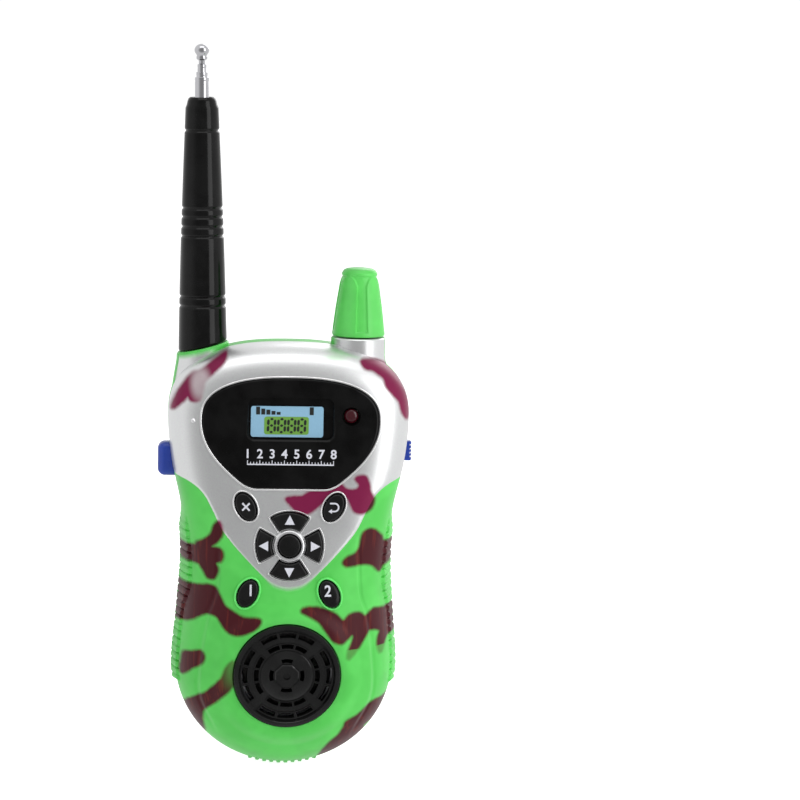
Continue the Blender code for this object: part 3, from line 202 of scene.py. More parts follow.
def from_frame(point):
    """The opposite of at(): a frame point as millimetres and a height above the foot."""
    return Vector((point[0] / MM, point[1] / MM, (point[2] - FOOT) / MM))


def node_box(name):
    low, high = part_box(name)
    return from_frame(low), from_frame(high)


def node_centre(name):
    low, high = node_box(name)
    return (low + high) / 2


SCREW_SPOTS = [node_centre(f"casing_screw_{i}").xz for i in range(1, 6)]
CLIP_SCREW_SPOTS = [node_centre(f"clip_screw_{i}").xz for i in (1, 2)]
KNOB_X = node_centre("volume_knob").x
KNOB_HEIGHT = node_box("volume_knob")[1].z - KNOB_LOW


def shaded(mesh, sharp):
    """Smooth shading with edges that are sharp above an angle in degrees."""
    mesh.shade_smooth()
    mesh.set_sharp_from_angle(angle=math.radians(sharp))
    return mesh


def from_bmesh(name, bm, mat=None, sharp=35):
    bmesh.ops.recalc_face_normals(bm, faces=bm.faces)
    mesh = bpy.data.meshes.new(name)
    bm.to_mesh(mesh)
    bm.free()
    obj = bpy.data.objects.new(name, mesh)
    bpy.context.scene.collection.objects.link(obj)
    if mat:
        mesh.materials.append(mat)
    shaded(mesh, sharp)
    return obj


def mesh_of(obj):
    """A new mesh with obj's modifiers applied."""
    bpy.context.view_layer.update()
    return bpy.data.meshes.new_from_object(obj.evaluated_get(bpy.context.evaluated_depsgraph_get()))


def baked(obj):
    """Applies obj's modifiers and returns it."""
    mesh = mesh_of(obj)
    obj.modifiers.clear()
    obj.data = shaded(mesh, 35)
    return obj


def discard(*objects):
    for obj in objects:
        bpy.data.objects.remove(obj, do_unlink=True)


def combine(target, tools, operation, solver="EXACT"):
    """One Boolean of target with each tool in turn; the tools are used up."""
    for tool in tools:
        mod = target.modifiers.new("boolean", "BOOLEAN")
        mod.object = tool
        mod.operation = operation
        mod.solver = solver
    baked(target)
    discard(*tools)


def merged(name, objects):
    """Several separate closed meshes as one object, so that one Boolean can use them all."""
    bm = bmesh.new()
    for obj in objects:
        bpy.context.view_layer.update()
        mesh = obj.data.copy()
        mesh.transform(obj.matrix_world)
        bm.from_mesh(mesh)
        bpy.data.meshes.remove(mesh)
    discard(*objects)
    return from_bmesh(name, bm)


def rounded(obj, width, segments=3, angle=30):
    """Rounds the edges of obj that are sharper than an angle in degrees."""
    bevel = obj.modifiers.new("rounded_edges", "BEVEL")
    bevel.width = width * MM
    bevel.segments = segments
    bevel.limit_method = "ANGLE"
    bevel.angle_limit = math.radians(angle)
    return baked(obj)


def box(name, low, high, mat=None, bevel=0.0, segments=3):
    low, high = at(*low), at(*high)
    bm = bmesh.new()
    bmesh.ops.create_cube(bm, size=1.0)
    bmesh.ops.scale(bm, vec=high - low, verts=bm.verts)
    bmesh.ops.translate(bm, vec=(low + high) / 2, verts=bm.verts)
    obj = from_bmesh(name, bm, mat)
    return rounded(obj, bevel, segments) if bevel else obj


def round_steps(count):
    """Angles at even steps round a circle."""
    return [2 * math.pi * k / count for k in range(count)]


def turned(name, profile, base, direction, mat=None, sides=64, closed=False):
    """A lathe shape from (radius, height) points; closed joins the last to the first, as in a tube."""
    rings = [[(r * MM * math.cos(a), r * MM * math.sin(a), h * MM) for a in round_steps(sides)]
             if r > 0 else [(0, 0, h * MM)] for r, h in profile]
    turn = Vector((0, 0, 1)).rotation_difference(Vector(direction)).to_matrix().to_4x4()
    return skinned(name, rings, mat, 35, closed, Matrix.Translation(at(*base)) @ turn)


def rod(name, radius, start, end):
    start, end = Vector(start), Vector(end)
    return turned(name, [(radius, (end - start).length), (radius, 0.0)], start, end - start, sides=48)


def skin(bm, one, other):
    """Faces between two rings, either of which may be a single point."""
    count = max(len(one), len(other))
    for i in range(count):
        j = (i + 1) % count
        if len(one) == 1:
            bm.faces.new((one[0], other[i], other[j]))
        elif len(other) == 1:
            bm.faces.new((one[i], one[j], other[0]))
        else:
            bm.faces.new((one[i], one[j], other[j], other[i]))


def skinned(name, rings, mat=None, sharp=35, closed=False, turn=None):
    """A closed surface over rings of points in metres, any of which may be a single point.

    Either the last ring joins the first, or both ends are capped.
    """
    bm = bmesh.new()
    loops = [[bm.verts.new(p) for p in ring] for ring in rings]
    for one, other in zip(loops, loops[1:] + loops[:1] if closed else loops[1:]):
        skin(bm, one, other)
    for end in () if closed else (loops[0], loops[-1]):
        if len(end) > 1:
            bm.faces.new(end)
    if turn is not None:
        bm.transform(turn)
    return from_bmesh(name, bm, mat, sharp)


def loft(name, rings, mat=None, start_pole=None, end_pole=None, closed=False):
    """A closed surface over rings of points in millimetres; an end is a cap, or a point."""
    rings = [[start_pole]] * bool(start_pole) + list(rings) + [[end_pole]] * bool(end_pole)
    return skinned(name, [[at(*p) for p in ring] for ring in rings], mat, closed=closed)


def piped(name, path, radius, mat, squash=1.0):
    """A closed loop of beading along a path of points; squash makes it stand out further."""
    points = [Vector(p) for p in path]
    out = Vector((0, -1, 0))
    rings = []
    for i, p in enumerate(points):
        along = (points[(i + 1) % len(points)] - points[i - 1]).normalized()
        across = along.cross(out).normalized()
        rings.append([at(*(p + across * radius * math.cos(a) + out * radius * squash * math.sin(a)))
                      for a in round_steps(12)])
    return skinned(name, rings, mat, 80, closed=True)


def smooth_path(points, steps, closed=False):
    """Points on a Catmull-Rom curve through the given (x, z) pairs."""
    points = [Vector(p) for p in points]
    if closed:
        ends = [points[-1], *points, points[0], points[1]]
    else:
        ends = [points[0] * 2 - points[1], *points, points[-1] * 2 - points[-2]]
    path = []
    for a, b, c, d in zip(ends, ends[1:], ends[2:], ends[3:]):
        for k in range(steps):
            t = k / steps
            path.append((b * 2 + (c - a) * t + (a * 2 - b * 5 + c * 4 - d) * t * t
                         + (b * 3 - a - c * 3 + d) * t ** 3) / 2)
    return path if closed else path + [points[-1]]


def blend_table(table, t):
    """Smooth interpolation through (position, value) pairs, level at both ends."""
    if t <= table[0][0]:
        return table[0][1]
    if t >= table[-1][0]:
        return table[-1][1]
    i = max(k for k in range(len(table) - 1) if table[k][0] <= t)
    slope = []
    for k in (i, i + 1):
        a, b = table[max(k - 1, 0)], table[min(k + 1, len(table) - 1)]
        slope.append((b[1] - a[1]) / (b[0] - a[0]) if 0 < k < len(table) - 1 else 0.0)
    (x0, y0), (x1, y1) = table[i], table[i + 1]
    h = x1 - x0
    s = (t - x0) / h
    return ((2 * s ** 3 - 3 * s ** 2 + 1) * y0 + (s ** 3 - 2 * s ** 2 + s) * h * slope[0]
            + (3 * s ** 2 - 2 * s ** 3) * y1 + (s ** 3 - s ** 2) * h * slope[1])


def smoothstep(low, high, t):
    """A smooth rise from 0 at low to 1 at high; high may be the smaller one."""
    s = np.clip((np.asarray(t, float) - low) / (high - low), 0.0, 1.0)
    return s * s * (3 - 2 * s)


HEIGHTS = np.arange(-2.0, 142.0, 0.1)
DEPTHS = np.array([blend_table(FRONT_DEPTH, z) for z in HEIGHTS])
CREASES = np.array([blend_table(CREASE, z) for z in HEIGHTS])


def edge_distance(x, z, outline):
    """Signed distance in mm to a closed outline, positive inside."""
    x, z = np.asarray(x, float), np.asarray(z, float)
    outline = np.array([tuple(p) for p in outline])
    nearest = np.full(x.shape, 1e9)
    inside = np.zeros(x.shape, bool)
    for (x0, z0), (x1, z1) in zip(outline, np.roll(outline, -1, axis=0)):
        dx, dz = x1 - x0, z1 - z0
        length = dx * dx + dz * dz + 1e-12
        t = np.clip(((x - x0) * dx + (z - z0) * dz) / length, 0, 1)
        nearest = np.minimum(nearest, (x - x0 - t * dx) ** 2 + (z - z0 - t * dz) ** 2)
        crosses = (z0 > z) != (z1 > z)
        inside ^= crosses & (x < dx * (z - z0) / np.where(abs(dz) < 1e-12, 1e-12, dz) + x0)
    distance = np.sqrt(nearest)
    return np.where(inside, distance, -distance)


def silver_distance(x, z):
    """Distance in mm inside the silver panel's painted edge."""
    edge = smooth_path(SILVER_EDGE, 6)
    outline = [*edge, (60, 200), (-60, 200), *((-a, b) for a, b in reversed(edge[1:]))]
    return edge_distance(x, z, outline)


# ---------------------------------------------------------------- casing shape

def half_width(z):
    """Half of the casing's width at a height, without the grips."""
    if z < BOTTOM_ARC_HEIGHT:
        drop = (BOTTOM_ARC_HEIGHT - z) / (BOTTOM_ARC_HEIGHT - FOOT_LIFT)
        return BOTTOM_ARC_WIDTH * math.sqrt(max(1 - drop * drop, 0.0))
    if z > TOP_ARC_HEIGHT:
        rise = (z - TOP_ARC_HEIGHT) / (CASING_HEIGHT - TOP_ARC_HEIGHT)
        return TOP_ARC_WIDTH * max(1 - rise ** TOP_ARC_POWER, 0.0) ** (1 / TOP_ARC_POWER)
    return blend_table(WAIST, z)


WIDTHS = np.array([half_width(z) for z in HEIGHTS])


def ring_fraction(x, z):
    """0 on the casing's middle line and 1 on its outline."""
    x, z = np.abs(np.asarray(x, float)), np.asarray(z, float)
    drop = (z - BOTTOM_ARC_HEIGHT) / (BOTTOM_ARC_HEIGHT - FOOT_LIFT)
    bottom = np.hypot(x / BOTTOM_ARC_WIDTH, drop)
    middle = x / np.interp(np.clip(z, BOTTOM_ARC_HEIGHT, CORE_TOP), HEIGHTS, WIDTHS)
    low, high = np.zeros(x.shape), np.full(x.shape, 1.3)
    for _ in range(30):
        r = (low + high) / 2
        edge_z = CORE_TOP + (z - CORE_TOP) / r
        inside = (edge_z < CASING_HEIGHT) & (np.interp(edge_z, HEIGHTS, WIDTHS) * r >= x)
        high = np.where(inside, r, high)
        low = np.where(inside, low, r)
    return np.where(z < BOTTOM_ARC_HEIGHT, bottom, np.where(z <= CORE_TOP, middle, high))


def swell(z, r, flat_low, flat_high):
    """How far the shell has risen, 0 at its rim and 1 on its face."""
    upper = smoothstep(55, 100, z)
    flat = flat_low + (flat_high - flat_low) * upper
    corner = 2.0 + upper
    return np.maximum(1 - np.minimum(r, 1.0) ** flat, 0.0) ** (1 / corner)


def on_speaker(depth):
    """A point on the speaker's axis, depth behind the centre of the grille's face."""
    return Vector((0.0, GRILLE_FACE_Y, SPEAKER_Z)) - SPEAKER_OUT * depth


def seat_y(z, depth):
    """Y of the plane that lies behind the grille's face."""
    middle = on_speaker(depth)
    return middle.y - (z - middle.z) * SPEAKER_OUT.z / SPEAKER_OUT.y


def front_surface(x, z, r=None):
    """Y of the front face with its raised silver panel, its creases and the speaker's seat."""
    r = ring_fraction(x, z) if r is None else r
    depth = np.interp(z, HEIGHTS, DEPTHS) * swell(z, r, *FRONT_FLATNESS)
    raised = SILVER_STEP * smoothstep(-0.4, 0.6, silver_distance(x, z))
    inside_crease = np.interp(z, HEIGHTS, CREASES) - np.abs(x)
    fold = CREASE_STEP * smoothstep(-0.6, 0.5, inside_crease)
    fold = fold - CREASE_GROOVE * np.exp(-((inside_crease + 0.9) / 0.5) ** 2)
    fold = fold * smoothstep(8, 24, z) * (1 - smoothstep(68, 80, z))
    y = PARTING_Y - depth - (raised + fold) * smoothstep(0.0, 4.0, depth)
    seat = smoothstep(SPEAKER_R + 7.5, SPEAKER_R + 1.2, np.hypot(x, z - SPEAKER_Z))
    return np.minimum(y, y + (seat_y(z, 0.9) - y) * seat)


FACE_STEP = 0.25
FACE_X = np.arange(-42.0, 42.1, FACE_STEP)
FACE_Z = np.arange(-2.0, 140.0, FACE_STEP)
FACE_Y = front_surface(*np.meshgrid(FACE_X, FACE_Z))


def front_y(x, z, out=0.0):
    """Y of the front face at one place, raised outwards by out."""
    a = min(max((x - FACE_X[0]) / FACE_STEP, 0.0), len(FACE_X) - 1.001)
    b = min(max((z - FACE_Z[0]) / FACE_STEP, 0.0), len(FACE_Z) - 1.001)
    i, j = int(a), int(b)
    a, b = a - i, b - j
    low = FACE_Y[j, i] * (1 - a) + FACE_Y[j, i + 1] * a
    high = FACE_Y[j + 1, i] * (1 - a) + FACE_Y[j + 1, i + 1] * a
    return float(low * (1 - b) + high * b) - out


def outline_points():
    """Right half of the casing's outline from the foot to the crown, as (x, z)."""
    points = []
    for angle in np.radians(np.arange(0, 90, 0.8)):
        rise = (BOTTOM_ARC_HEIGHT - FOOT_LIFT) * math.cos(angle)
        points.append((BOTTOM_ARC_WIDTH * math.sin(angle), BOTTOM_ARC_HEIGHT - rise))
    for z in np.arange(BOTTOM_ARC_HEIGHT, TOP_ARC_HEIGHT, GRID_STEP):
        points.append((half_width(z), z))
    for angle in np.radians(np.linspace(0, 90, 90)):
        x = TOP_ARC_WIDTH * max(math.cos(angle), 0.0) ** (2 / TOP_ARC_POWER)
        rise = (CASING_HEIGHT - TOP_ARC_HEIGHT) * math.sin(angle) ** (2 / TOP_ARC_POWER)
        points.append((x, TOP_ARC_HEIGHT + rise))
    return points


def grip_height(z, depth, pitch):
    """How far the ribbed pads along both sides stand out; depth is from the parting plane."""
    low, high = GRIP_SPAN
    along = smoothstep(low, low + 0.7, z) * (1 - smoothstep(high - 8, high, z))
    reach = GRIP_REACH[0] + (GRIP_REACH[1] - GRIP_REACH[0]) * smoothstep(50, 62, z)
    inner = 1 - smoothstep(reach - 0.6, reach + 0.3, depth)
    rise = GRIP_EDGE + (GRIP_RISE - GRIP_EDGE) * (1 - np.clip(depth / reach, 0, 1)) ** 2
    away = np.abs((z / pitch) % 1 - 0.5) * pitch
    groove = np.exp(-(away / 0.3) ** 2)
    notch = smoothstep(reach - 2.4, reach - 1.4, depth)
    notch *= 1 - smoothstep(reach - 0.2, reach + 0.6, depth)
    return along * (inner * (rise - RIB_GROOVE * groove) - 0.5 * groove * notch)


def casing_shell(name, front, mat):
    """A closed shell: a fine outer surface, a rim at the parting plane and a plain inner surface."""
    right = outline_points()
    edge = np.array(right + [(-x, z) for x, z in reversed(right[1:-1])])
    count = len(edge)
    r = 1 - 0.98 * (np.arange(RINGS)[:, None] / (RINGS - 1)) ** 1.8       # closer together near the rim
    core = np.clip(edge[:, 1], BOTTOM_ARC_HEIGHT, CORE_TOP)
    x = edge[:, 0] * r
    z = core + (edge[:, 1] - core) * r
    side = -1 if front else 1
    if front:
        y = front_surface(x, z, r * np.ones_like(x))
    else:
        y = PARTING_Y * (1 - swell(z, r, *REAR_FLATNESS))
    depth = abs(y - PARTING_Y)
    y = PARTING_Y + side * (SEAM_GAP + depth * (1 - SEAM_GAP / 20))
    grid = np.stack([x, y, z], axis=2)
    around = np.roll(grid, -1, axis=1) - np.roll(grid, 1, axis=1)
    normal = np.cross(around, np.gradient(grid, axis=0))
    normal /= np.linalg.norm(normal, axis=2, keepdims=True) + 1e-12
    if normal[RINGS // 2, 0, 1] * side < 0:       # outwards on both shells
        normal = -normal
    lift = grip_height(z, depth, FRONT_RIB_PITCH if front else REAR_RIB_PITCH)
    lift -= 0.22 * np.exp(-(depth / 0.3))
    outer = grid + normal * lift[:, :, None]
    inner = (grid - normal * WALL)[[0, *range(6, RINGS, 8), RINGS - 1]]
    verts = np.concatenate([outer.reshape(-1, 3), inner.reshape(-1, 3)])
    faces = grid_faces(0, RINGS, count) + grid_faces(RINGS * count, len(inner), count)
    first = RINGS * count
    faces += [(i, (i + 1) % count, first + (i + 1) % count, first + i) for i in range(count)]
    mesh = bpy.data.meshes.new(name)
    mesh.from_pydata([tuple(at(*v)) for v in verts], [], faces)
    bm = bmesh.new()
    bm.from_mesh(mesh)
    bpy.data.meshes.remove(mesh)
    return from_bmesh(name, bm, mat)


def grid_faces(first, rings, count):
    """Faces of a stack of rings, closed across the middle line of the last one."""
    faces = []
    for k in range(rings - 1):
        a, b = first + k * count, first + (k + 1) * count
        faces += [(a + i, a + (i + 1) % count, b + (i + 1) % count, b + i) for i in range(count)]
    last = first + (rings - 1) * count
    half = count // 2
    faces.append((last, last + 1, last + count - 1))
    faces += [(last + k, last + k + 1, last + count - k - 1, last + count - k) for k in range(1, half - 1)]
    faces.append((last + half - 1, last + half, last + half + 1))
    return faces


# ---------------------------------------------------------------- outlines of the controls

def lens_outline(grow=0.0, steps=28):
    """The display panel's outline, anticlockwise from its right-hand widest point."""
    right = []
    width, rise = LENS_HALF_WIDTH + grow, LENS_TOP - LENS_WIDEST + grow
    for k in range(steps + 1):
        angle = math.radians(90) * k / steps
        right.append((width * max(math.cos(angle), 0) ** 0.8, LENS_WIDEST + rise * math.sin(angle) ** 0.8))
    corner = 13.2 + grow * 0.5
    bottom = LENS_BOTTOM - grow
    curve = [(width, LENS_WIDEST), (width, 105.5), (21.5 + grow, 99.5), (corner, bottom)]
    lower = []
    for k in range(1, steps + 1):
        t = 0.88 * k / steps
        weights = ((1 - t) ** 3, 3 * t * (1 - t) ** 2, 3 * t * t * (1 - t), t ** 3)
        lower.append(tuple(sum(w * p[i] for w, p in zip(weights, curve)) for i in (0, 1)))
    bend = [lower[-1], (corner, bottom), (corner - 3.0, bottom)]
    for k in range(1, 7):
        t = k / 6
        weights = ((1 - t) ** 2, 2 * t * (1 - t), t * t)
        lower.append(tuple(sum(w * p[i] for w, p in zip(weights, bend)) for i in (0, 1)))
    flat = [((corner - 3.0) * (1 - 2 * k / 8), bottom) for k in range(1, 8)]
    upper_left = [(-x, z) for x, z in reversed(right[:-1])]
    lower_left = [(-x, z) for x, z in lower]
    return right + upper_left + lower_left + [(-x, z) for x, z in flat] + list(reversed(lower))


def rectangle(low_x, high_x, low_z, high_z, corner=0.0, steps=5):
    if not corner:
        return [(low_x, low_z), (high_x, low_z), (high_x, high_z), (low_x, high_z)]
    points = []
    for x, z, first in ((high_x, high_z, 0), (low_x, high_z, 90), (low_x, low_z, 180), (high_x, low_z, 270)):
        cx = x - math.copysign(corner, x - (low_x + high_x) / 2)
        cz = z - math.copysign(corner, z - (low_z + high_z) / 2)
        for k in range(steps + 1):
            angle = math.radians(first + 90 * k / steps)
            points.append((cx + corner * math.cos(angle), cz + corner * math.sin(angle)))
    return points


def oval(cx, cz, lean, grow=0.0):
    lean = math.radians(lean)
    points = []
    for a in round_steps(56):
        u, v = (OVAL_A + grow) * math.cos(a), (OVAL_B + grow) * math.sin(a)
        points.append((cx + u * math.cos(lean) - v * math.sin(lean),
                       cz + u * math.sin(lean) + v * math.cos(lean)))
    return points


def sector(facing, half_angle, grow=0.0, corner=0.5):
    """One pad of the key ring with rounded corners, facing an angle in degrees."""
    inner, outer = PAD_INNER - grow, PAD_OUTER + grow
    corners = []
    for radius, order in ((outer, 1), (inner, -1)):
        reach = math.radians(half_angle) + grow / radius
        for k in range(15):
            angle = math.radians(facing) + order * reach * (2 * k / 14 - 1)
            corners.append(Vector((radius * math.cos(angle), PAD_Z + radius * math.sin(angle), 0)))
    points = []
    count = len(corners)
    for i, p in enumerate(corners):
        before, after = corners[i - 1] - p, corners[(i + 1) % count] - p
        if before.normalized().dot(after.normalized()) < -0.9:
            points.append((p.x, p.y))
            continue
        a = p + before.normalized() * min(corner, before.length * 0.45)
        b = p + after.normalized() * min(corner, after.length * 0.45)
        for t in (0.0, 0.25, 0.5, 0.75, 1.0):
            q = a * (1 - t) ** 2 + p * 2 * t * (1 - t) + b * t * t
            points.append((q.x, q.y))
    return points


def disc(radius):
    return [(radius * math.cos(a), PAD_Z + radius * math.sin(a)) for a in round_steps(56)]


def key_place(name):
    middle = node_centre(name)
    return middle.x, middle.z


def key_outline(name, grow=0.0):
    if name in OVAL_LEANS:
        return oval(*key_place(name), OVAL_LEANS[name], grow)
    if name in RING_KEYS:
        return sector(*RING_KEYS[name], grow)
    return disc(CENTRE_KEY_R + grow)


def middle_of(points):
    return (sum(p[0] for p in points) / len(points), sum(p[1] for p in points) / len(points))


def prism(name, outline, back, front, mat=None):
    """An outline in (x, z) pushed straight through from one depth to another."""
    return loft(name, [[(x, y, z) for x, z in outline] for y in (back, front)], mat)


# ---------------------------------------------------------------- materials

def set_inputs(tree, target, values):
    """Links sockets and sets plain values on a node's inputs."""
    for key, value in values.items():
        if isinstance(value, bpy.types.NodeSocket):
            tree.links.new(value, target.inputs[key])
        else:
            target.inputs[key].default_value = value


def node(tree, kind, inputs=None, **settings):
    made = tree.nodes.new(kind)
    for key, value in settings.items():
        setattr(made, key, value)
    set_inputs(tree, made, inputs or {})
    return made


def maths(tree, a, b, operation="ADD", clamp=False):
    inputs = {0: a, 1: b}
    return node(tree, "ShaderNodeMath", inputs, operation=operation, use_clamp=clamp).outputs[0]


def blended(tree, share, a, b):
    """Mix of two colours (4 numbers or a socket) by a share."""
    return node(tree, "ShaderNodeMix", {0: share, 6: a, 7: b}, data_type="RGBA").outputs[2]


def between(tree, share, a, b):
    return node(tree, "ShaderNodeMix", {0: share, 2: a, 3: b}, data_type="FLOAT").outputs[0]


def ramped(tree, value, low, high, to_low=0.0, to_high=1.0):
    inputs = {0: value, 1: low, 2: high, 3: to_low, 4: to_high}
    return node(tree, "ShaderNodeMapRange", inputs, interpolation_type="SMOOTHSTEP").outputs[0]


def object_place(tree):
    return node(tree, "ShaderNodeTexCoord").outputs["Object"]


def noise(tree, size, detail=2.0, stretch=(1, 1, 1)):
    """Noise whose features are about size millimetres across."""
    scaled = node(tree, "ShaderNodeMapping", {"Vector": object_place(tree), "Scale": stretch}).outputs[0]
    inputs = {"Vector": scaled, "Scale": 1 / (size * MM), "Detail": detail, "Roughness": 0.6}
    return node(tree, "ShaderNodeTexNoise", inputs).outputs[0]


def cells(tree, size, **settings):
    """Distance to the nearest of scattered points, about size millimetres apart."""
    inputs = {"Vector": object_place(tree), "Scale": 1 / (size * MM)}
    return node(tree, "ShaderNodeTexVoronoi", inputs, **settings).outputs["Distance"]


def start(name):
    mat = bpy.data.materials.new(name)
    mat.use_nodes = True
    return mat, mat.node_tree, mat.node_tree.nodes["Principled BSDF"]


def bumped(tree, *layers):
    """Normal from (height socket, height in mm, how strongly) layers."""
    normal = None
    for height, tall, strength in layers:
        inputs = {"Height": height, "Distance": tall * MM, "Strength": strength}
        if normal:
            inputs["Normal"] = normal
        normal = node(tree, "ShaderNodeBump", inputs).outputs[0]
    return normal


def moulded(name, colour, roughness, tint=0.06, metallic=0.0, bump=0.02, shine=0.5):
    """Moulded or plated material: slight mottling, uneven gloss and a fine surface grain."""
    mat, tree, bsdf = start(name)
    patchy = noise(tree, 9.0)
    fine = noise(tree, 0.25, 3.0)
    dark = (*(c * (1 - tint) for c in colour), 1.0)
    light = (*(min(c * (1 + tint) + 0.002, 1.0) for c in colour), 1.0)
    gloss = maths(tree, ramped(tree, patchy, 0.3, 0.7, roughness * 0.85, roughness * 1.15),
                  ramped(tree, fine, 0.3, 0.7, -0.02, 0.02))
    set_inputs(tree, bsdf, {"Base Color": blended(tree, ramped(tree, patchy, 0.35, 0.65), dark, light),
                            "Roughness": gloss, "Metallic": metallic, "IOR": 1.46,
                            "Specular IOR Level": shine, "Normal": bumped(tree, (fine, bump, 0.5))})
    return mat


GREEN_TONE = (0.105, 0.63, 0.105)
GREEN_DEEP = (0.085, 0.56, 0.085, 1.0)
SILVER_TONE = (0.74, 0.74, 0.75)
MAROON_ON_GREEN = (0.060, 0.008, 0.012, 1.0)
MAROON_ON_SILVER = (0.20, 0.012, 0.06, 1.0)
MAROON_STREAK = (0.16, 0.022, 0.015, 1.0)


def painted_casing():
    """Green plastic under silver spray paint, with maroon patches over both."""
    mat, tree, bsdf = start("casing_paint")
    attribute = {name: node(tree, "ShaderNodeAttribute", attribute_name=name).outputs["Fac"]
                 for name in ("silver", "camo", "bare", "thin_paint_and_highlight", "overspray")}
    speckle = noise(tree, 0.35, 4.0)
    wander = noise(tree, 2.4, 2.0)
    patchy = noise(tree, 11.0)
    jitter = ramped(tree, speckle, 0.2, 0.8, -0.1, 0.1)
    drift = ramped(tree, wander, 0.25, 0.75, -0.08, 0.08)

    edge = maths(tree, attribute["silver"], jitter)
    soft = between(tree, attribute["overspray"], 0.14, 1.3)
    silver = ramped(tree, edge, maths(tree, soft, -1.0, "MULTIPLY"), soft)
    covered = maths(tree, 1.0, maths(tree, attribute["bare"], jitter), "SUBTRACT", clamp=True)
    silver = maths(tree, silver, covered, "MULTIPLY")

    mark_edge = maths(tree, maths(tree, attribute["camo"], drift), jitter)
    mark = ramped(tree, mark_edge, -1.25, 0.15)
    # Where this mask is set the maroon gives way to what lies under it; the lighter spot on the left shoulder
    # is a painted highlight
    mark = maths(tree, mark, maths(tree, 1.0, attribute["thin_paint_and_highlight"], "SUBTRACT"), "MULTIPLY", clamp=True)

    green = blended(tree, ramped(tree, patchy, 0.35, 0.65), GREEN_DEEP, (*GREEN_TONE, 1.0))
    silver_dark = (*(0.9 * c for c in SILVER_TONE), 1.0)
    silver_tone = blended(tree, ramped(tree, speckle, 0.35, 0.7), silver_dark, (*SILVER_TONE, 1.0))
    streaks = ramped(tree, noise(tree, 1.6, 2.0, (1.0, 1.0, 0.04)), 0.52, 0.68)
    red_brown = blended(tree, maths(tree, streaks, 0.45, "MULTIPLY"), MAROON_ON_GREEN, MAROON_STREAK)
    maroon = blended(tree, silver, red_brown, MAROON_ON_SILVER)
    shade = blended(tree, mark, blended(tree, silver, green, silver_tone), maroon)
    metal = maths(tree, 0.86, maths(tree, mark, 0.75, "MULTIPLY"), "SUBTRACT")
    metal = maths(tree, silver, metal, "MULTIPLY", clamp=True)
    gloss = between(tree, silver, ramped(tree, patchy, 0.3, 0.7, 0.34, 0.42),
                    ramped(tree, speckle, 0.3, 0.7, 0.30, 0.38))
    set_inputs(tree, bsdf, {"Base Color": shade, "Metallic": metal, "Roughness": gloss,
                            "Specular IOR Level": between(tree, mark, 0.3, 0.15),
                            "Normal": bumped(tree, (noise(tree, 0.5, 3.0), 0.02, 0.4),
                                             (silver, 0.05, 0.6), (mark, 0.03, 0.5))})
    return mat


def printed_face(name, colour):
    """A printed card or ink film with a faint dot texture."""
    mat, tree, bsdf = start(name)
    dark = (*(0.88 * c for c in colour), 1.0)
    shade = blended(tree, ramped(tree, cells(tree, 0.28), 0.1, 0.5), (*colour, 1.0), dark)
    set_inputs(tree, bsdf, {"Base Color": shade, "Roughness": 0.45,
                            "Normal": bumped(tree, (noise(tree, 0.4), 0.01, 0.4))})
    return mat


def board_material():
    """Solder mask with copper tracks showing through as slightly raised lines."""
    mat, tree, bsdf = start("circuit_board_mask")
    squares = cells(tree, 3.0, distance="MANHATTAN")
    tracks = ramped(tree, maths(tree, squares, 0.35, "PINGPONG"), 0.12, 0.16)
    pads = ramped(tree, cells(tree, 2.6), 0.22, 0.18)
    mask = blended(tree, tracks, (0.012, 0.10, 0.04, 1.0), (0.03, 0.22, 0.08, 1.0))
    set_inputs(tree, bsdf, {"Base Color": blended(tree, pads, mask, (0.65, 0.63, 0.58, 1.0)),
                            "Metallic": pads, "Roughness": between(tree, pads, 0.35, 0.3),
                            "Normal": bumped(tree, (tracks, 0.04, 0.6), (pads, 0.1, 0.6))})
    return mat


def battery_material():
    """Printed steel jacket: dark with a plain copper-coloured band round one end, bare metal ends."""
    mat, tree, bsdf = start("battery_jacket_print")
    height = node(tree, "ShaderNodeSeparateXYZ", {0: object_place(tree)}).outputs[2]
    foot, top = (p.z * MM + FOOT for p in node_box("battery_9v"))
    band = ramped(tree, height, top - 0.0172, top - 0.0170)
    ends = maths(tree, ramped(tree, height, top - 0.0040, top - 0.0038),
                 ramped(tree, height, foot + 0.0012, foot + 0.0010))
    shade = blended(tree, band, (0.018, 0.018, 0.022, 1.0), (0.50, 0.20, 0.07, 1.0))
    shade = blended(tree, ends, shade, (0.62, 0.62, 0.63, 1.0))
    scuffs = ramped(tree, noise(tree, 3.0, 6.0, (1, 1, 0.3)), 0.62, 0.7)
    shade = blended(tree, maths(tree, scuffs, 0.25, "MULTIPLY"), shade, (0.4, 0.38, 0.36, 1.0))
    set_inputs(tree, bsdf, {"Base Color": shade, "Metallic": between(tree, ends, 0.55, 1.0),
                            "Roughness": between(tree, scuffs, 0.28, 0.45),
                            "Normal": bumped(tree, (noise(tree, 0.6), 0.02, 0.4))})
    return mat


def paper_material():
    """Pressed paper of the speaker's cone: fibres and a soft mottling."""
    mat, tree, bsdf = start("cone_paper")
    fibres = noise(tree, 0.5, 8.0, (1, 1, 0.3))
    shade = blended(tree, ramped(tree, fibres, 0.4, 0.65), (0.012, 0.012, 0.012, 1.0),
                    (0.05, 0.048, 0.045, 1.0))
    set_inputs(tree, bsdf, {"Base Color": shade, "Roughness": 0.95,
                            "Normal": bumped(tree, (fibres, 0.12, 0.8))})
    return mat


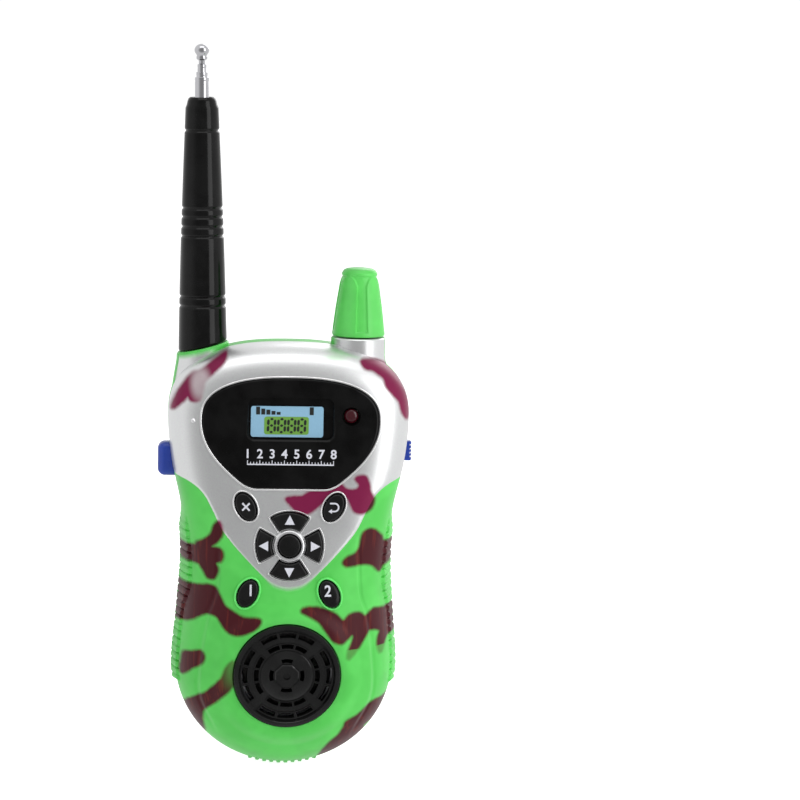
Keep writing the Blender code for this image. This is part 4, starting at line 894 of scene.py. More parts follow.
PAINT = painted_casing()
GREEN = moulded("green_moulding", GREEN_TONE, 0.36, tint=0.05)
BLACK = moulded("black_gloss", (0.003, 0.003, 0.003), 0.13, tint=0.2, bump=0.012, shine=0.2)
GRILLE = moulded("grille_black", (0.006, 0.006, 0.006), 0.15, tint=0.2, bump=0.015, shine=0.4)
LENS = moulded("black_lens", (0.003, 0.003, 0.003), 0.08, tint=0.2, bump=0.004, shine=0.12)
KEY_BLACK = moulded("key_black", (0.006, 0.006, 0.006), 0.2, tint=0.25, bump=0.012, shine=0.25)
BLUE = moulded("blue_moulding", (0.013, 0.048, 0.36), 0.3, tint=0.08)
CHROME = moulded("chrome_tube", (0.50, 0.50, 0.52), 0.07, metallic=1.0, bump=0.003)
STEEL = moulded("zinc_steel_plate", (0.56, 0.56, 0.58), 0.33, metallic=1.0, bump=0.015)
SILVER = moulded("silver_paint", SILVER_TONE, 0.28, metallic=0.9, bump=0.01)
# Rim beads around the lens and the keys: a lighter silver and a lighter green than the casing, which paints a
# highlight on their edges
RIM_SILVER_HIGHLIT = moulded("rim_silver_painted_highlight", (0.82, 0.82, 0.82), 0.2, metallic=0.9, bump=0.005)
RIM_GREEN_HIGHLIT = moulded("rim_green_painted_highlight", (0.14, 0.78, 0.16), 0.3)
CARD_BLUE = printed_face("card_blue", (0.27, 0.50, 0.68))
CARD_GREEN = printed_face("card_green", (0.16, 0.38, 0.05))
INK = printed_face("black_ink", (0.008, 0.010, 0.008))
WHITE_INK = printed_face("white_ink", (0.72, 0.73, 0.80))
LED_RED = moulded("led_lens", (0.045, 0.002, 0.006), 0.12)
BOARD = board_material()
RUBBER = moulded("rubber_sheet", (0.30, 0.30, 0.31), 0.75, bump=0.04)
PAPER = paper_material()
BATTERY = battery_material()
BLACK_MATT = moulded("black_moulding_matt", (0.018, 0.018, 0.019), 0.62, bump=0.04)
BLUE_SLEEVE = moulded("shrink_sleeve", (0.012, 0.033, 0.21), 0.3)
WIRE_RED = moulded("wire_red", (0.58, 0.018, 0.018), 0.45)
WIRE_BLACK = moulded("wire_black", (0.014, 0.014, 0.014), 0.45)


def place(obj, body, cad_node=None):
    """Makes obj ride on a body and stand for a CAD node, whose own part is hidden."""
    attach(obj, body)
    if cad_node:
        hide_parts(cad_node)


# ---------------------------------------------------------------- casings

def on_antenna(height):
    """A point on the antenna's axis."""
    return ANTENNA_FOOT + ANTENNA_UP * height


def socket_halves(front):
    """This shell's half of the knob collar and of the antenna socket, with soft feet."""
    profile = [(-0.35, 9.8), (0.0, 9.45), (0.0, 4.0), (0.3, 2.0), (1.4, -1.0), (0.0, -3.0)]
    collar = turned("collar", [(COLLAR_R + out, h) for out, h in profile], (KNOB_X, KNOB_Y, KNOB_LOW - 10.3),
                    (0, 0, 1), sides=96)
    profile = [(-0.5, -0.3), (-0.1, -0.8), (0.0, -3.0), (2.0, -16.0), (0.6, -22.0)]
    socket = turned("socket", [(SOCKET_R + out, h) for out, h in profile], ANTENNA_FOOT, ANTENNA_UP, sides=96)
    slope_end(socket, -7.0, -0.8)
    low, high = (-60.0, PARTING_Y - SEAM_GAP) if front else (PARTING_Y + SEAM_GAP, 30.0)
    for piece in (collar, socket):
        combine(piece, [box("side", (-80, low, -20), (80, high, 200))], "INTERSECT", "MANIFOLD")
    return collar, socket


def slope_end(obj, unchanged, sloped, lowest=-100.0):
    """Shears a turned piece on the antenna's axis so that its end slopes down outwards.

    The slope grows from none at one height along the axis to all of it at another.
    """
    for v in obj.data.vertices:
        p = from_frame(v.co)
        height = (p - ANTENNA_FOOT).dot(ANTENNA_UP)
        if height > lowest:
            slope = SOCKET_SLOPE * float(smoothstep(unchanged, sloped, height))
            v.co.z += (p.x - on_antenna(height).x) * slope * MM


def across_parting(name, low_x, high_x, half_y, low_z, high_z, mat=None, bevel=0.0, segments=3):
    """A block that lies evenly across the parting plane."""
    return box(name, (low_x, PARTING_Y - half_y, low_z), (high_x, PARTING_Y + half_y, high_z), mat, bevel,
               segments)


def openings():
    """Bores for the knob and the antenna, and the openings of the two side controls."""
    ptt_z = node_centre("ptt_button").z
    power_low, power_high = node_box("power_slider")
    return [rod("knob_bore", 3.4, (KNOB_X, KNOB_Y, 120), (KNOB_X, KNOB_Y, 145)),
            rod("sleeve_bore", 4.9, on_antenna(-30), on_antenna(6)),
            across_parting("ptt_opening", -46, -30, 4.2, ptt_z - 5.8, ptt_z + 5.8, bevel=1.6),
            across_parting("power_opening", 30, 46, 2.4, power_low.z + 3.0, power_high.z - 0.8, bevel=0.6)]


def built_up(casing, added, removed):
    """Joins groups of pieces to a casing, then cuts groups out of it; the pieces of a group stay apart."""
    for groups, operation in ((added, "UNION"), (removed, "DIFFERENCE")):
        for pieces in groups:
            combine(casing, [merged("group", pieces)], operation, "MANIFOLD")


def foot_ribs(front):
    """The row of small ribs under the foot; they follow the shell's curve away from the rim."""
    ribs = []
    side = -1 if front else 1
    deepest, flat = (FRONT_DEPTH[0][1], FRONT_FLATNESS[0]) if front else (-PARTING_Y, REAR_FLATNESS[0])
    for k in range(FOOT_RIBS):
        x = (k - (FOOT_RIBS - 1) / 2) * FOOT_RIB_PITCH
        sections = []
        for depth, tall in ((SEAM_GAP + 0.05, 0.6), (1.6, 0.6), (3.2, 0.6), (4.8, 0.45), (6.0, 0.1)):
            r = (1 - (depth / deepest) ** 2) ** (1 / flat)
            drop = math.sqrt(1 - min(abs(x) / (BOTTOM_ARC_WIDTH * r), 1.0) ** 2)
            foot = BOTTOM_ARC_HEIGHT - (BOTTOM_ARC_HEIGHT - FOOT_LIFT) * drop * r
            half = ((0.42, -tall), (0.6, 0.2 - tall), (0.6, 1.2))
            section = [(-px, pz) for px, pz in reversed(half)] + list(half)
            sections.append([(x + px, PARTING_Y + side * depth, foot + pz) for px, pz in section])
        ribs.append(loft("foot_rib", sections))
    return ribs


def panel_patch(name, layers, mat=None):
    """A curved plate that follows the front: layers are (grow, raise) from front to back."""
    cx, cz = 0.0, LENS_CENTRE
    shares = (0.15, 0.3, 0.45, 0.6, 0.75, 0.88)
    grow, out = layers[0]
    first = [(x, z - cz) for x, z in lens_outline(grow)]

    def inside(share, level):
        return [(x * share, front_y(x * share, cz + z * share, level), cz + z * share) for x, z in first]

    rings = [inside(share, out) for share in shares]
    for step, level in layers:
        rings.append([(x, front_y(x, z, level), z) for x, z in lens_outline(step)])
    last = layers[-1][1]
    rings += [inside(share, last) for share in reversed(shares)]
    middle = front_y(cx, cz)
    return loft(name, rings, mat, (cx, middle - out, cz), (cx, middle - last, cz))


def paint_masks(obj):
    """Stores what the paint needs at each point of the mesh: distances in mm and shares from 0 to 1."""
    co = np.zeros(len(obj.data.vertices) * 3)
    obj.data.vertices.foreach_get("co", co)
    co = co.reshape(-1, 3) / MM
    x, y, z = co[:, 0], co[:, 1], co[:, 2] - FOOT / MM
    depth = PARTING_Y - y
    camo = np.full(x.shape, -20.0)
    for outline in CAMO.values():
        camo = np.maximum(camo, edge_distance(x, z, smooth_path(outline, 3, closed=True)))
    # Green shows along the parting line, most on the crown, and a little beside the knob's collar
    crown = smoothstep(118, 134, z) * smoothstep(34, 22, abs(x))
    bare = smoothstep(0.7 + 3.4 * crown, 0.1 + 1.0 * crown, depth)
    collar = np.hypot((x - 14.0) / 4.0, (z - 134.2) / 1.3)
    bare = np.maximum(bare, 0.28 * smoothstep(1.4, 0.2, collar) * (depth > 0))
    # The end of the antenna's socket is green too
    along = (x - ANTENNA_FOOT.x) * math.cos(SPLAY) - (z - ANTENNA_FOOT.z) * math.sin(SPLAY)
    socket = (z - ANTENNA_FOOT.z) - along * SOCKET_SLOPE
    near_socket = smoothstep(10.5, 8.8, np.hypot(along, y - ANTENNA_FOOT.y))
    bare = np.maximum(bare, smoothstep(-2.6, -1.6, socket) * near_socket)
    # Maroon is thinner in two places: it is thinly sprayed on the lower left slash, and on the left shoulder
    # a thinner spot lets the silver show through as a painted highlight
    thin_paint_and_highlight = 0.5 * smoothstep(-22.5, -15.5, x) * smoothstep(26, 36, z) * (z < 42)
    thin_paint_and_highlight = np.maximum(thin_paint_and_highlight, 0.55 * smoothstep(3.4, 1.2, np.hypot((x + 28.6) / 1.3, (z - 125.6) / 2.1)))
    masks = {"silver": silver_distance(x, z), "camo": camo, "bare": bare, "thin_paint_and_highlight": thin_paint_and_highlight,
             "overspray": smoothstep(67, 61, z)}
    for name, values in masks.items():
        layer = obj.data.attributes.new(name, "FLOAT", "POINT")
        layer.data.foreach_set("value", np.broadcast_to(values, x.shape).astype(np.float32))


def front_casing():
    casing = casing_shell("front_shell", True, PAINT)
    profiles = (("seat", ((1.0, -0.9), (1.3, -1.2), (1.6, -4.5), (1.3, -6.0))),
                ("grille_recess", ((0.3, 5.0), (0.3, -2.3), (-1.4, -2.3), (-1.4, -12.0))))
    seat, recess = (turned(name, [(SPEAKER_R + out, h) for out, h in profile], on_speaker(0), SPEAKER_OUT,
                           sides=128) for name, profile in profiles)
    holes = [prism("panel_hole", lens_outline(-1.5), -50.0, -25.0)]
    holes += [prism(f"{name}_hole", key_outline(name, KEY_GAP), -48.0, -27.0) for name in KEY_NAMES]
    built_up(casing, [[seat], socket_halves(True), foot_ribs(True)],
             [[recess], [panel_patch("panel_recess", [(0.3, 6.0), (0.3, -1.0)])], holes, openings()])
    paint_masks(casing)
    place(casing, "casing", "front_casing")


def shoulder_pip():
    """A small raised pip on the silver shoulder."""
    x, z = -30.8, 114.0
    dome = [(0, 0.75), (0.35, 0.68), (0.65, 0.45), (0.8, 0.1), (0.85, -0.8)]
    slant = Vector((-0.45, -1.0, 0.1)).normalized()
    place(turned("shoulder_pip", dome, (x, front_y(x, z), z), slant, SILVER), "casing")


def rear_casing():
    casing = casing_shell("rear_shell", False, GREEN)
    low, high = node_box("battery_door")
    battery_low, battery_high = node_box("battery_9v")
    half_bay = battery_high.x + 0.65
    foot, top = battery_low.z - 0.7, battery_low.z + BATTERY_HEIGHT + 5.4
    floor_y = battery_low.y - 0.5
    door_frame = box("door_frame", (low.x - 2.5, -4.4, DOOR_LOW - 2.8), (high.x + 2.5, -1.1, high.z + 2.0),
                     bevel=0.3)
    tray = box("tray", (-half_bay - 1.5, floor_y - 1.4, foot - 1.5), (half_bay + 1.5, -2.0, high.z + 0.3),
               bevel=0.3)
    bosses = [rod("boss", 3.4, (x, PARTING_Y + 0.2, z), (x, -1.4, z)) for x, z in SCREW_SPOTS]
    added = [[door_frame], [tray], socket_halves(False), foot_ribs(False), bosses]

    wells = [turned("well", [(3.3, 5.0), (3.3, -0.4), (2.9, -0.8), (2.9, -7.0)], (x, 0, z), (0, 1, 0))
             for x, z in SCREW_SPOTS]
    clearances = [rod("clearance", 1.6, (x, 0, z), (x, PARTING_Y - 1, z)) for x, z in SCREW_SPOTS]
    bay = box("bay", (-half_bay, floor_y, foot), (half_bay, 1.0, top), bevel=0.4)
    snap_bay = box("snap_bay", (-half_bay, floor_y, top - 6.0), (half_bay, -6.4, top + 5.4), bevel=0.4)
    relief = box("swing_relief", (low.x, -0.5, LUG_Z - 1.1), (high.x, 5.0, DOOR_LOW + 0.5))
    slots = [box("lug_slot", (a - 0.4, -2.2, LUG_Z - 1.4), (b + 0.4, 5.0, DOOR_LOW + 0.5))
             for a, b in LUG_SPANS]
    clip_holes = [rod("clip_hole", 1.5, (x, -6, z), (x, 4, z)) for x, z in CLIP_SCREW_SPOTS]
    pilot = rod("door_pilot", 1.3, (0, 1, DOOR_SCREW_Z), (0, -5.9, DOOR_SCREW_Z))
    wire_exit = rod("wire_exit", 1.9, (10.5, floor_y + 3, top), (10.5, floor_y + 3, high.z + 4))
    recess = door_plate("door_recess", 0.3, -2.2, 5.0)
    built_up(casing, added, [[recess, *wells, *clip_holes], [bay, *clearances], [snap_bay, relief],
                             [*slots, pilot, wire_exit], openings()])
    place(casing, "casing", "rear_casing")


# ---------------------------------------------------------------- back pieces

def door_plate(name, grow, back, front, mat=None):
    low, high = node_box("battery_door")
    outline = rectangle(low.x - grow, high.x + grow, DOOR_LOW - grow, high.z + grow, DOOR_CORNER + grow, 12)
    return prism(name, outline, back, front, mat)


def battery_door():
    door = door_plate("door_panel", 0.0, -1.8, 0.0, GREEN)
    rounded(door, 0.35, 3, 50)
    for a, b in LUG_SPANS:
        combine(door, [rod("lug", LUG_R, (a, LUG_Y, LUG_Z), (b, LUG_Y, LUG_Z)),
                       box("lug_root", (a, LUG_Y - 0.5, LUG_Z), (b, LUG_Y + 0.5, DOOR_LOW + 0.5))], "UNION")
    cuts = []
    for k in range(5):
        half, z = 6.8 - 0.4 * abs(k - 2), 60.0 + 1.8 * k
        cuts.append(box("thumb_groove", (-half, -0.5, z), (half, 1.0, z + 0.8), bevel=0.2, segments=2))
    head_well = [(2.7, 1.0), (2.7, -0.05), (2.4, -0.3), (2.4, -0.9)]
    cuts += [turned("head_well", head_well, (0, 0, DOOR_SCREW_Z), (0, 1, 0)),
             rod("screw_hole", 1.4, (0, 1.0, DOOR_SCREW_Z), (0, -3.0, DOOR_SCREW_Z))]
    combine(door, cuts, "DIFFERENCE")
    place(door, "battery_door", "battery_door")


def screw(name, node_name, body, seat, direction, head, shank):
    """A screw with a cross slot; head is (radius, height), shank (radius, length) from the seat."""
    (head_r, head_h), (shank_r, length) = head, shank
    direction = Vector(direction)
    profile = [(0, head_h), (head_r * 0.55, head_h), (head_r * 0.85, head_h * 0.8), (head_r, head_h * 0.45),
               (head_r, 0), (shank_r, 0)]
    for k in range(int(length * 0.85 / THREAD_PITCH)):
        crest = -0.3 - THREAD_PITCH * k
        profile += [(shank_r, crest), (shank_r * 0.78, crest - THREAD_PITCH / 2)]
    obj = turned(name, [*profile, (0, -length)], seat, -direction, STEEL, sides=32)
    top = Vector(seat) - direction * head_h
    for reach in (Vector((head_r * 0.6, 0.6, 0.28)), Vector((0.28, 0.6, head_r * 0.6))):
        combine(obj, [box("slot", top - reach, top + reach)], "DIFFERENCE")
    place(obj, body, node_name)


def fasteners():
    for i, (x, z) in enumerate(SCREW_SPOTS, 1):
        screw(f"case_screw_{i}", f"casing_screw_{i}", "casing", (x, -6.7, z), (0, -1, 0), (2.5, 1.6),
              (1.25, 17.0))
    screw("door_screw", "battery_door_screw", "battery_door", (0, -0.7, DOOR_SCREW_Z), (0, -1, 0), (2.0, 0.6),
          (1.05, 4.6))


def belt_clip():
    """A root block on the back with a springy tongue hanging down from its top."""
    inside = [(0.35, 126.4), (0.35, 110.5), (4.0, 110.5), (4.6, 111.6), (4.8, 108.0), (5.0, 100.0),
              (4.3, 88.0), (2.2, 81.6), (1.3, 79.8)]
    outside = [(3.0, 78.8), (5.0, 80.2), (6.4, 88.0), (7.2, 100.0), (7.1, 112.0), (6.9, 119.0), (6.5, 122.6),
               (5.8, 124.8), (3.5, 126.2)]

    def narrowed(x, z):
        return x * (1.0 if z > 105 else 0.94 + 0.06 * (z - 79) / 26)

    rings = [[(narrowed(x, z), y, z) for y, z in inside + outside] for x in (-10.0, -9.2, 9.2, 10.0)]
    clip = loft("clip_body", rings, GREEN)
    rounded(clip, 0.3, 3, 40)
    pilots = [rod("clip_pilot", 1.35, (x, -1, z), (x, 4.4, z)) for x, z in CLIP_SCREW_SPOTS]
    combine(clip, pilots, "DIFFERENCE")
    place(clip, "casing", "belt_clip")
    for i, (x, z) in enumerate(CLIP_SCREW_SPOTS, 1):
        screw(f"belt_screw_{i}", f"clip_screw_{i}", "casing", (x, -2.6, z), (0, 1, 0), (2.3, 1.4),
              (1.15, 6.2))


# ---------------------------------------------------------------- antenna and knob

def antenna_sleeve():
    """A tapered tube with rings of grooves, and a narrower stem that goes down into the socket."""
    def radius(h):
        up = h / SLEEVE_HEIGHT
        grooves = sum(math.exp(-((h - g) / 0.42) ** 2) for g in SLEEVE_GROOVES)
        return 7.7 - 0.85 * up - 1.75 * up ** 1.6 - 0.42 * grooves

    top = [(2.45, 0.6), (3.2, 0.1), (3.8, 0.0), (4.3, 0.45), (4.6, 1.2), (4.85, 2.4)]
    profile = [(r, SLEEVE_HEIGHT - drop) for r, drop in top]
    profile += [(radius(h), float(h)) for h in np.arange(SLEEVE_HEIGHT - 3.4, 0.5, -0.22)]
    profile += [(7.65, 0.35), (7.45, 0.08), (7.2, 0.0), (4.6, 0.0), (4.6, -15.0), (2.45, -15.0)]
    sleeve = turned("sleeve", profile, ANTENNA_FOOT, ANTENNA_UP, BLACK, 112, closed=True)
    slope_end(sleeve, 8.0, 0.0, lowest=-1.0)
    place(sleeve, "casing", "antenna_sleeve")


def antenna_tubes():
    for k, (name, cad, outer, inner, top, body) in enumerate(TUBES):
        low, ring = -14.0 + 2 * k, outer - 0.05
        profile = [(inner, top - 0.1), (inner + 0.08, top), (outer - 0.12, top), (outer, top - 0.12),
                   (outer, top - 1.0), (ring, top - 1.15), (ring, top - 1.35), (outer, top - 1.5),
                   (outer, low), (inner, low)]
        place(turned(name, profile, ANTENNA_FOOT, ANTENNA_UP, CHROME, closed=True), body, cad)


def antenna_tip():
    """The innermost rod, which ends in a ball."""
    turns = [math.radians(90 - 130 * k / 24) for k in range(25)]
    profile = [(2.35 * math.cos(a), TIP_HEIGHT + 2.0 * math.sin(a)) for a in turns]
    profile[0] = (0.0, profile[0][1])
    stem = [(1.6, 1.75), (1.7, 2.05), (1.75, 2.5), (1.65, 2.9), (1.1, 3.2), (1.0, 3.4)]
    profile += [(r, TIP_HEIGHT - drop) for r, drop in stem] + [(1.0, -8.0), (0, -8.0)]
    tip = turned("tip_ball", profile, ANTENNA_FOOT, ANTENNA_UP, CHROME)
    place(tip, "antenna_tip", "antenna_tip_rod")


def knob_point(r, angle, h):
    return KNOB_X + r * math.cos(angle), KNOB_Y + r * math.sin(angle), KNOB_LOW + h


def volume_knob():
    """A tapered knob: four arch-topped panels stand out between four shallow channels."""
    height = KNOB_HEIGHT
    radii, drops = zip((0.0, 0.0), (3.0, 0.05), (4.3, 0.25), (5.1, 0.7), (5.6, 1.5), (5.9, 2.5), (6.5, 6.0),
                       (7.5, height * 0.58), (8.3, height - 2.5), (8.45, height - 0.5), (8.3, height - 0.1),
                       (8.0, height))
    levels = sorted({round(float(d), 3) for d in (*drops, *np.arange(1.8, height - 0.2, 0.22))})
    steps = round_steps(180)
    rings = []
    for drop in levels[1:]:
        r = float(np.interp(drop, drops, radii))
        plain = float(smoothstep(1.9, 1.3, height - drop))      # no channels near the bottom
        ring = []
        for a in steps:
            quarter = (a - KNOB_TURN) / (math.pi / 2)
            past_channel = abs(quarter - round(quarter)) * 90.0 - 13.0
            arch = 2.4 + 3.2 * max(1 - max(past_channel, 0.0) / 32.0, 0.0) ** 3
            panel = float(smoothstep(-1.6, 1.6, past_channel) * smoothstep(-0.3, 0.3, drop - arch))
            sunk = 0.5 * (1 - max(panel, plain)) * float(smoothstep(1.9, 2.7, drop))
            ring.append(knob_point(r - sunk, a, height - drop))
        rings.append(ring)
    for r, h in ((3.0, 0.0), (3.0, -10.7), (3.9, -11.5), (2.6, -13.7)):
        rings.append([knob_point(r, a, h) for a in steps])
    knob = loft("knob", rings, GREEN, start_pole=knob_point(0.0, 0.0, height))
    place(knob, "volume_knob", "volume_knob")


# ---------------------------------------------------------------- side controls

def talk_button():
    edge = -half_width(TALK_Z)
    button = across_parting("talk_button", node_box("ptt_button")[0].x, edge + 4.8, 3.8, TALK_Z - 5.4,
                            TALK_Z + 5.4, BLUE, 2.3, 8)
    flange = across_parting("talk_flange", edge + 4.4, edge + 5.6, 5.2, TALK_Z - 6.8, TALK_Z + 6.8)
    combine(button, [flange], "UNION")
    spring = node_centre("ptt_spring")
    pocket = rod("spring_pocket", 2.5, (edge + 3.2, spring.y, spring.z), (edge + 6.0, spring.y, spring.z))
    combine(button, [pocket], "DIFFERENCE")
    place(button, "ptt", "ptt_button")


def power_slider():
    low, high = node_box("power_slider")
    middle = low.z + 6.6
    edge = half_width(SLIDER_Z)
    slider = across_parting("slider", edge - 4.0, high.x, 2.0, middle - 3.2, middle + 3.2, BLUE, 0.5, 4)
    flange = across_parting("flange", edge - 4.9, edge - 3.7, 3.6, middle - 6.6, middle + 7.4)
    combine(slider, [flange], "UNION")
    grooves = []
    for k in range(4):
        z = middle + (k - 1.5) * 1.24
        grooves.append(across_parting("groove", edge + 1.4, edge + 4, 4, z - 0.3, z + 0.3, None, 0.12, 2))
    combine(slider, grooves, "DIFFERENCE")
    place(slider, "power", "power_slider")


# ---------------------------------------------------------------- display

def decal(name, pieces, surface, out, mat, body):
    """Flat outlines in (x, z) laid on a surface as thin closed plates."""
    bm = bmesh.new()
    for outline in pieces:
        front, back = ([bm.verts.new(at(x, surface(x, z) - level, z)) for x, z in outline]
                       for level in (out, out - 0.1))
        skin(bm, front, back)
        bm.faces.new(front)
        bm.faces.new(back)
    place(from_bmesh(name, bm, mat), body)


def lettering(name, text, size, x, z, surface, out, body, width=1.0):
    """Plain white figures laid on a surface, centred on a point."""
    curve = bpy.data.curves.new(name, "FONT")
    curve.body = text
    curve.size = size
    curve.extrude = 0.04
    curve.offset = 0.02 * size
    curve.align_x = "CENTER"
    curve.align_y = "CENTER"
    curve.resolution_u = 4
    flat = bpy.data.objects.new(f"{name}_flat", curve)
    bpy.context.scene.collection.objects.link(flat)
    mesh = mesh_of(flat)
    discard(flat)
    for v in mesh.vertices:
        px, pz = x + v.co.x * width, z + v.co.y
        v.co = at(px, surface(px, pz) - out - v.co.z, pz)
    bm = bmesh.new()
    bm.from_mesh(mesh)
    bpy.data.meshes.remove(mesh)
    bmesh.ops.remove_doubles(bm, verts=bm.verts, dist=1e-7)
    place(from_bmesh(name, bm, WHITE_INK), body)


def segments(x, z, wide, tall, lean=0.04):
    """The seven bars of one figure of a display, as outlines."""
    half, bar, gap = wide / 2, 0.82, 0.05

    def across(level):
        a, b = -half + gap + bar / 2, half - gap - bar / 2
        return [(a, level), (a + bar / 2, level + bar / 2), (b - bar / 2, level + bar / 2), (b, level),
                (b - bar / 2, level - bar / 2), (a + bar / 2, level - bar / 2)]

    def upright(side, low, high):
        low, high = low + gap, high - gap
        return [(side, low), (side + bar / 2, low + bar / 2), (side + bar / 2, high - bar / 2), (side, high),
                (side - bar / 2, high - bar / 2), (side - bar / 2, low + bar / 2)]

    bars = [across(tall / 2), across(0.0), across(-tall / 2)]
    bars += [upright(s, *span) for s in (-half, half) for span in ((0, tall / 2), (-tall / 2, 0))]
    return [[(x + px + lean * pz, z + pz) for px, pz in bar_outline] for bar_outline in bars]


def display_bezel():
    """The black panel with its window, a light and a thin rim whose lighter silver is a painted highlight."""
    face = front_y(0, LENS_WIDEST, 0.6)
    layers = [(-0.9, 0.62), (-0.5, 0.58), (-0.2, 0.45), (-0.02, 0.2), (0.0, -0.1), (0.0, -0.7), (-1.8, -0.7),
              (-1.8, -2.3)]
    bezel = panel_patch("lens", layers, LENS)
    low_x, high_x, low_z, high_z = WINDOW
    steps = ((0.7, -3.0), (0.7, -0.15), (0.35, 0.15), (0.0, 0.6), (0.0, 1.9))
    hollow = [[(x, face + deep, z) for x, z in
               rectangle(low_x - grow, high_x + grow, low_z - grow, high_z + grow, 1.9 + grow, 8)]
              for grow, deep in steps]
    combine(bezel, [loft("window", hollow)], "DIFFERENCE")
    led_x, led_z = node_centre("status_led").xz
    led_face = front_y(led_x, led_z)
    hole = [(2.9, 1.5), (2.9, -0.1), (2.6, -0.5), (2.6, -9.0)]
    combine(bezel, [turned("led_hole", hole, (led_x, led_face, led_z), (0, -1, 0))], "DIFFERENCE")
    place(bezel, "casing", "display_bezel")
    dome = [(0, 0), (1.2, -0.12), (1.9, -0.4), (2.3, -0.9), (2.3, -5.8), (0, -5.8)]
    led = turned("led_dome", dome, (led_x, led_face - 0.3, led_z), (0, -1, 0), LED_RED)
    place(led, "casing", "status_led")
    path = [(x, front_y(x, z, 0.18), z) for x, z in lens_outline(0.42)]
    place(piped("lens_rim", path, 0.34, RIM_SILVER_HIGHLIT), "casing")


def display_card():
    """The printed card behind the window: a row of eights, a stepped signal mark and a bar."""
    low, high = node_box("display_card")
    card = prism("card", rectangle(low.x, high.x, low.z, high.z, 0.8), high.y, low.y, CARD_BLUE)
    place(card, "casing", "display_card")

    def on_card(*_):
        return low.y

    low_x, high_x, low_z, high_z = PATCH
    decal("lcd_patch", [rectangle(*PATCH, 0.8)], on_card, 0.04, CARD_GREEN, "casing")
    pitch = (high_x - low_x - 1.4) / 4
    figures = []
    for k in range(4):
        figures += segments(low_x + 0.75 + pitch * (k + 0.5), (low_z + high_z) / 2, pitch * 0.66, 4.1)
    decal("lcd_figures", figures, on_card, 0.09, INK, "casing")
    signal = [rectangle(-11.1 + k * 1.62, -9.85 + k * 1.62, 116.4, 116.4 + tall)
              for k, tall in enumerate((2.5, 1.9, 1.6, 1.2, 0.9))]
    decal("lcd_bars", [*signal, rectangle(5.8, 7.1, 116.4, 118.9)], on_card, 0.04, INK, "casing")


def lens_y(x, z):
    return front_y(x, z, 0.62)


def tuning_scale():
    """A generic printed scale below the window: ticks and the figures 1 to 8."""
    ticks = []
    for k in range(29):
        x = SCALE_LEFT + k * SCALE_STEP
        tall = 1.1 if k % 4 == 0 else 0.6
        ticks.append(rectangle(x - 0.12, x + 0.12, SCALE_Z, SCALE_Z + tall))
    ticks.append(rectangle(SCALE_LEFT - 0.12, 13.68, SCALE_Z - 0.4, SCALE_Z))
    decal("scale_ticks", ticks, lens_y, 0.03, WHITE_INK, "casing")
    for k in range(8):
        x = SCALE_LEFT + k * 4 * SCALE_STEP
        lettering(f"scale_figure_{k + 1}", str(k + 1), 4.0, x, SCALE_Z + 3.0, lens_y, 0.02, "casing")


# ---------------------------------------------------------------- keypad

def key_cap(name):
    """A key with a flange at the back, a rounded edge and a face that follows the casing's front."""
    body, flange, edge = (key_outline(name, grow) for grow in (0.0, 0.5, -0.5))
    rings = [[(x, y, z) for x, z in outline]
             for outline, y in ((flange, KEY_BACK), (flange, KEY_FLANGE), (body, KEY_FLANGE))]
    for grow, fall in ((0.0, 0.55), (-0.08, 0.28), (-0.26, 0.08), (-0.5, 0.0)):
        rings.append([(x, front_y(x, z, KEY_RISE - fall), z) for x, z in key_outline(name, grow)])
    cx, cz = middle_of(body)
    for share in (0.66, 0.33):
        inner = [(cx + (x - cx) * share, cz + (z - cz) * share) for x, z in edge]
        rings.append([(x, key_top(x, z), z) for x, z in inner])
    cap = loft(f"{name}_cap", rings, KEY_BLACK, (cx, KEY_BACK, cz), (cx, key_top(cx, cz), cz))
    place(cap, name, name)


def key_top(x, z):
    return front_y(x, z, KEY_RISE)


def triangle(x, z, size, facing):
    angles = [math.radians(facing + turn) for turn in (0, 125, 235)]
    return [(x + size * math.cos(a), z + size * math.sin(a)) for a in angles]


def bar_between(a, b, width):
    a, b = Vector(a), Vector(b)
    side = (b - a).normalized()
    side = Vector((-side.y, side.x)) * width / 2
    return [tuple(a + side), tuple(b + side), tuple(b - side), tuple(a - side)]


def ribbon(path, width):
    """An open stroke of even width along a path."""
    path = [Vector(p) for p in path]
    left, right = [], []
    for i, p in enumerate(path):
        along = (path[min(i + 1, len(path) - 1)] - path[max(i - 1, 0)]).normalized()
        side = Vector((-along.y, along.x)) * width / 2
        left.append(tuple(p + side))
        right.append(tuple(p - side))
    return left + right[::-1]


def symbols():
    x, z = key_place("key_clear")
    far, near = 1.15, 0.22
    cross = [bar_between((x + a, z + b), (x + c, z + d), 0.55)
             for a, b, c, d in ((-far, -far, far, far), (-far, far, -near, near), (near, -near, far, -far))]
    decal("mark_clear", cross, key_top, 0.03, WHITE_INK, "key_clear")
    x, z = key_place("key_return")
    turns = [math.radians(90 - 18 * k) for k in range(1, 10)]
    bend = [(x - 1.3, z + 1.35), (x + 0.2, z + 1.35)]
    bend += [(x + 0.2 + 1.25 * math.cos(a), z + 0.1 + 1.25 * math.sin(a)) for a in turns]
    bend += [(x + 0.2, z - 1.15), (x - 0.7, z - 1.15)]
    arrow = [(x - 1.75, z - 1.15), (x - 0.65, z - 0.4), (x - 0.65, z - 1.9)]
    decal("mark_return", [ribbon(bend, 0.5), arrow], key_top, 0.03, WHITE_INK, "key_return")
    out = (PAD_INNER + PAD_OUTER) / 2 - 0.2
    for side, x, z, facing in (("up", 0, out, 90), ("down", 0, -out, 270), ("left", -out, 0, 180),
                               ("right", out, 0, 0)):
        decal(f"mark_{side}", [triangle(x, PAD_Z + z, 1.9, facing)], key_top, 0.03, WHITE_INK, f"key_{side}")
    for figure, shift in (("1", 0.9), ("2", -0.6)):
        x, z = key_place(f"key_{figure}")
        lettering(f"mark_{figure}", figure, 5.0, x + shift, z + 0.9, key_top, 0.0, f"key_{figure}", 0.9)


